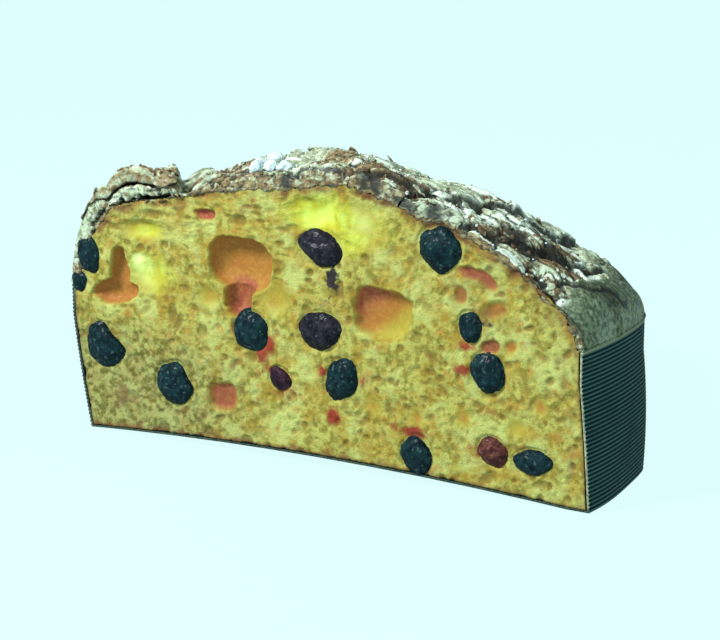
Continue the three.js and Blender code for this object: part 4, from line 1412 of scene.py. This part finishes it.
def make_flakes(material):
    """Thin broken plates of glaze that lie on the crust."""
    x, y = crust_places(FLAKES, 0.6)
    z, slope_x, slope_y, glazed = surface_at(x, y)
    points, faces, tones = [], [], []
    for i in range(FLAKES):
        length, width = rng.uniform(*FLAKE_LENGTHS), rng.uniform(*FLAKE_WIDTHS)
        turn = rng.normal(0.0, 0.5)
        tone = rng.uniform(0.0, 0.4) + 0.55 * glazed[i]
        tilt_x, tilt_y = rng.normal(0, 0.08, 2)
        px, py = flake_outline(length, width, turn)
        rise = px * (slope_x[i] + tilt_x) + py * (slope_y[i] + tilt_y)
        thick = rng.uniform(*FLAKE_THICKNESSES)
        faces += flake_faces(len(points))
        for level, shrink, shade in ((-FLAKE_SINK, 1, 0.4), (thick, 0.9, 1)):
            outline = (x[i] + LEAN_AT_RIM + shrink * px, y[i] + shrink * py, z[i] + rise + level)
            points += np.stack(outline, 1).tolist()
            tones += [tone * shade] * FLAKE_SIDES
    piece = add_mesh("glaze_flakes", points, faces, [material], {"tone": tones}, smooth=False)
    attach(piece, "root")


def make_lumps(name, x, y, radius, tone, material, rise, detail, smooth=False):
    """Uneven lumps that are sunk a little into the crust, joined into one mesh."""
    ball, ball_faces = unit_ball(detail)
    z, _, _, glazed = surface_at(x, y)
    points, faces, tones = [], [], []
    for i in range(len(x)):
        shift = rng.uniform(-50, 50, 3)
        broad = np.array([noise.noise(Vector(p * 1.2 + shift)) for p in ball])
        fine = np.array([noise.noise(Vector(p * 4 + shift)) for p in ball])
        shape = 1 + 0.4 * broad + 0.1 * fine
        stretch = rng.uniform(0.75, 1.2, 3)
        at = np.array([x[i] + LEAN_AT_RIM, y[i], z[i] + radius[i] * rise])
        faces.append(ball_faces + len(points) * len(ball))
        points.append(ball * shape[:, None] * stretch * radius[i] + at)
        tones.append(np.full(len(ball), tone[i] + 0.5 * glazed[i]))
    points, faces, tones = (np.concatenate(parts) for parts in (points, faces, tones))
    piece = add_mesh(name, points, faces, [material], {"tone": tones}, smooth=smooth)
    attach(piece, "root")


def make_toppings():
    flake = flake_material()
    sugar = sugar_material()
    make_flakes(flake)
    x, y = crust_places(CRUMBS, 0.7)
    radius, tone = rng.uniform(*CRUMB_RADII, CRUMBS), rng.uniform(0.0, 0.35, CRUMBS)
    make_lumps("crust_crumbs", x, y, radius, tone, flake, CRUMB_RISE, 1)
    x, y = crust_places(GRAINS, 0.5)
    make_lumps("sugar_grains", x, y, rng.uniform(*GRAIN_RADII, GRAINS), np.ones(GRAINS), sugar, SUGAR_RISE, 1)
    x, y, radius = np.array(NUGGETS).T
    make_lumps("pearl_sugar", x, y, radius, np.ones(len(x)), sugar, SUGAR_RISE, 4, smooth=True)


# ---- Berries ----


def wrinkled(p, shift):
    """How far out the skin is at a point of the unit ball, and how much it is in a fold there, which is
    painted dark as shade.
    """
    v = Vector(p)
    lump = noise.noise(v * 1.2 + shift)
    crease = max(1 - abs(noise.noise(v * 2.6 + shift)) * 2.6, 0) ** 2
    fine = max(1 - abs(noise.noise(v * 6 - shift)) * 3, 0) ** 2
    return 1 + 0.18 * lump - 0.045 * crease - 0.012 * fine, 0.8 * crease + 0.3 * fine


def make_berry(name, seed, material):
    *box, tilt = BERRIES[name]
    (at_x, at_z), (half_width, half_height) = box_ellipse(*box)
    size = math.sqrt(half_width * half_height)
    thickness = BERRY_THICKNESS * size
    sink = thickness - BERRY_BULGE * size
    widen = 1 / math.sqrt(1 - (sink / thickness) ** 2)  # so that it fills its box where it passes the cut
    shift = Vector((seed * 7.3, seed * 3.1, seed * 5.7))
    dent_x, dent_z, dent = BERRY_DENTS.get(name, (0, 0, 0))
    ball, faces = unit_ball(5)
    points, folds = [], []
    for p in ball:
        out, fold = wrinkled(p, shift)
        out = out * (1 - dent * float(smoothstep(p[0] * dent_x + p[2] * dent_z, 0.55, 1)))
        points.append(p * out)
        folds.append(fold)
    points = np.array(points) * (half_width * widen, thickness, half_height * widen) * BERRY_FIT
    x, z = turned(points[:, 0], points[:, 2], -tilt)
    placed = np.stack([x, points[:, 1], z], 1) + (at_x, sink, at_z)
    piece = add_mesh("wrinkled_" + name, placed, faces, [material], {"fold": folds})
    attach(piece, "root")
    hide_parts("berry_" + name)


def make_berries():
    dark = berry_material("dark_berry_skin", (2, 22, 28), (16, 44, 48), (70, 98, 98))
    plum = berry_material("plum_berry_skin", (14, 16, 24), (36, 36, 44), (68, 76, 82))
    purple = berry_material("purple_berry_skin", (30, 18, 30), (58, 34, 46), (86, 62, 70))
    red = berry_material("red_berry_skin", (56, 26, 28), (98, 56, 48), (122, 94, 78))
    skins = {"crown": plum, "middle": plum, "speck": purple, "reddish": red}
    for seed, name in enumerate(BERRIES):
        make_berry(name, seed, skins.get(name, dark))


# ---- Paper case ----

RIBS = 38
ROWS_PER_RIB = 5
RIB_DEPTH = 0.42
CASE_COLUMNS = 170
FLOOR_SHARES = (0.92, 0.8, 0.6, 0.4, 0.2)  # rows of the floor, from the wall to the middle
INNER_SHARES = (1, 0.8, 0.6, 0.4, 0.2)  # rows of the wall's inside, from the rim down
FLOOR_INSET = 0.4
INNER_INSET = PAPER_WALL - 0.1
PALE_CUT_FROM_X = 98  # the right wall's cut edge is paler than the rest of it


def floor_rows(plan, z, inset, shares):
    x, y = wall_point(plan, z, inset)
    return [np.stack([k * x, k * y, z + floor_arch(k * x, k * y)], 1) for k in shares]


def cut_strip(ring, below, above):
    """The cut edge of one half of the case: quads along the floor, then one face up the wall."""
    n = len(FLOOR_SHARES)
    along_floor = [[ring[i], ring[i + 1], ring[-2 - i], ring[-1 - i]] for i in range(n - 1)]
    return [[below, ring[0], ring[-1], above], *along_floor, ring[n - 1 : len(ring) - n + 1]]


def case_rows(plan):
    """The case's surface as rows of points, from the middle of its underside up the ribs, over the rim and
    down the inside to the middle of the floor. Each comes with its share of a rib's ridge and of the rim."""
    rows = [(points, 0.0, 0.0) for points in floor_rows(plan, 0.0, FLOOR_INSET, FLOOR_SHARES[::-1])]
    steps = RIBS * ROWS_PER_RIB
    for k in range(steps + 1):
        ridge = 0.5 - 0.5 * math.cos(2 * math.pi * k / ROWS_PER_RIB)
        outside = wall_row(plan, RIM_HEIGHT * k / steps, RIB_DEPTH * (1 - ridge))
        rows.append((outside, ridge, float(k >= steps - 1)))
    for share in INNER_SHARES:
        rows.append((wall_row(plan, RIM_HEIGHT * share, INNER_INSET), 0.0, float(share == 1)))
    rows.append((wall_row(plan, PAPER_FLOOR, INNER_INSET), 0.0, 0.0))
    rows += [(points, 0.0, 0.0) for points in floor_rows(plan, PAPER_FLOOR, PAPER_WALL, FLOOR_SHARES)]
    return rows


def make_paper_case():
    rows, ridge, rim = zip(*case_rows(evenly_along(PLAN, CASE_COLUMNS)))
    sections = np.stack(rows, 1)
    columns, count = sections.shape[:2]
    below, above = columns * count, columns * count + 1
    arch = floor_arch(0.0, 0.0)
    points = np.concatenate([sections.reshape(-1, 3), [(0, 0, arch), (0, 0, PAPER_FLOOR + arch)]])
    faces = grid_faces(columns, count).tolist()
    for c in range(columns - 1):
        faces.append([below, (c + 1) * count, c * count])
        faces.append([above, c * count + count - 1, (c + 1) * count + count - 1])
    first_cut_edge = len(faces)
    at_right_end = list(range((columns - 1) * count, columns * count))
    faces += cut_strip(list(range(count)), below, above)
    faces += [face[::-1] for face in cut_strip(at_right_end, below, above)]
    pale = (sections[:, :, 0] > PALE_CUT_FROM_X) & (sections[:, :, 2] > 2 * PAPER_FLOOR)
    masks = {"ridge": np.tile(ridge, columns), "rim": np.tile(rim, columns), "pale": pale.ravel()}
    masks = {name: np.concatenate([values, [0, 0]]) for name, values in masks.items()}
    materials = [paper_material(), cut_paper_material()]
    cut_edges = range(first_cut_edge, len(faces))
    piece = add_mesh("ribbed_case", points, faces, materials, masks, second_material=cut_edges)
    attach(piece, "root")
    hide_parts("paper_case")


# ---- Stage, lights and camera ----

BACKGROUND = (224, 255, 255)
FLOOR_COLOUR = (46, 52, 52)
FLOOR_GLOW = 0.965
FLOOR_REACH = 20000
FLOOR_TOP = -0.4
WORLD_STRENGTH = 0.32
# Name, place in the frame of the cut, width in millimetres, and watts.
LIGHTS = [("key", (-420, -620, 760), 300, 18), ("fill", (520, -560, 420), 420, 2)]
LIGHTS_AIM = (0, 0, 60)
CAMERA_FROM = (391.6, -650.6, 240.6)
CAMERA_TO = (19, 0, 56.5)
LENS = 110
FARTHEST_SEEN = 60  # metres


def place_looking(name, data, place, target):
    """A new light or camera at a place in the frame of the cut, turned toward a target."""
    here, there = (Vector(point) * MM + Vector((CUT_X, CUT_Y, 0)) for point in (place, target))
    thing = bpy.data.objects.new(name, data)
    bpy.context.scene.collection.objects.link(thing)
    thing.location = here
    thing.rotation_mode = "QUATERNION"
    thing.rotation_quaternion = (there - here).to_track_quat("-Z", "Y")
    return thing


def make_stage():
    shader = Shader("pale_floor", Roughness=1.0, Specular_IOR_Level=0.0)
    shader.feed("Base Color", FLOOR_COLOUR)
    shader.feed("Emission Color", BACKGROUND)
    shader.feed("Emission Strength", FLOOR_GLOW)
    corners = [(i * FLOOR_REACH, j * FLOOR_REACH, FLOOR_TOP) for i, j in ((-1, -1), (1, -1), (1, 1), (-1, 1))]
    floor = add_mesh("floor", corners, [[0, 1, 2, 3]], [shader.material], smooth=False)
    world = bpy.data.worlds.new("studio")
    bpy.context.scene.world = world
    world.use_nodes = True
    background = world.node_tree.nodes["Background"]
    background.inputs["Color"].default_value = linear(BACKGROUND)
    background.inputs["Strength"].default_value = WORLD_STRENGTH


def make_lights():
    for name, place, size, power in LIGHTS:
        data = bpy.data.lights.new(name, "AREA")
        data.shape = "DISK"
        data.size = size * MM
        data.energy = power
        place_looking(name, data, place, LIGHTS_AIM)


def make_camera():
    data = bpy.data.cameras.new("camera")
    data.lens = LENS
    data.clip_end = FARTHEST_SEEN
    bpy.context.scene.camera = place_looking("camera", data, CAMERA_FROM, CAMERA_TO)
    bpy.context.scene.view_settings.view_transform = "Standard"


make_crumb()
make_crust()
make_flap()
make_toppings()
make_berries()
make_paper_case()
make_stage()
make_lights()
make_camera()
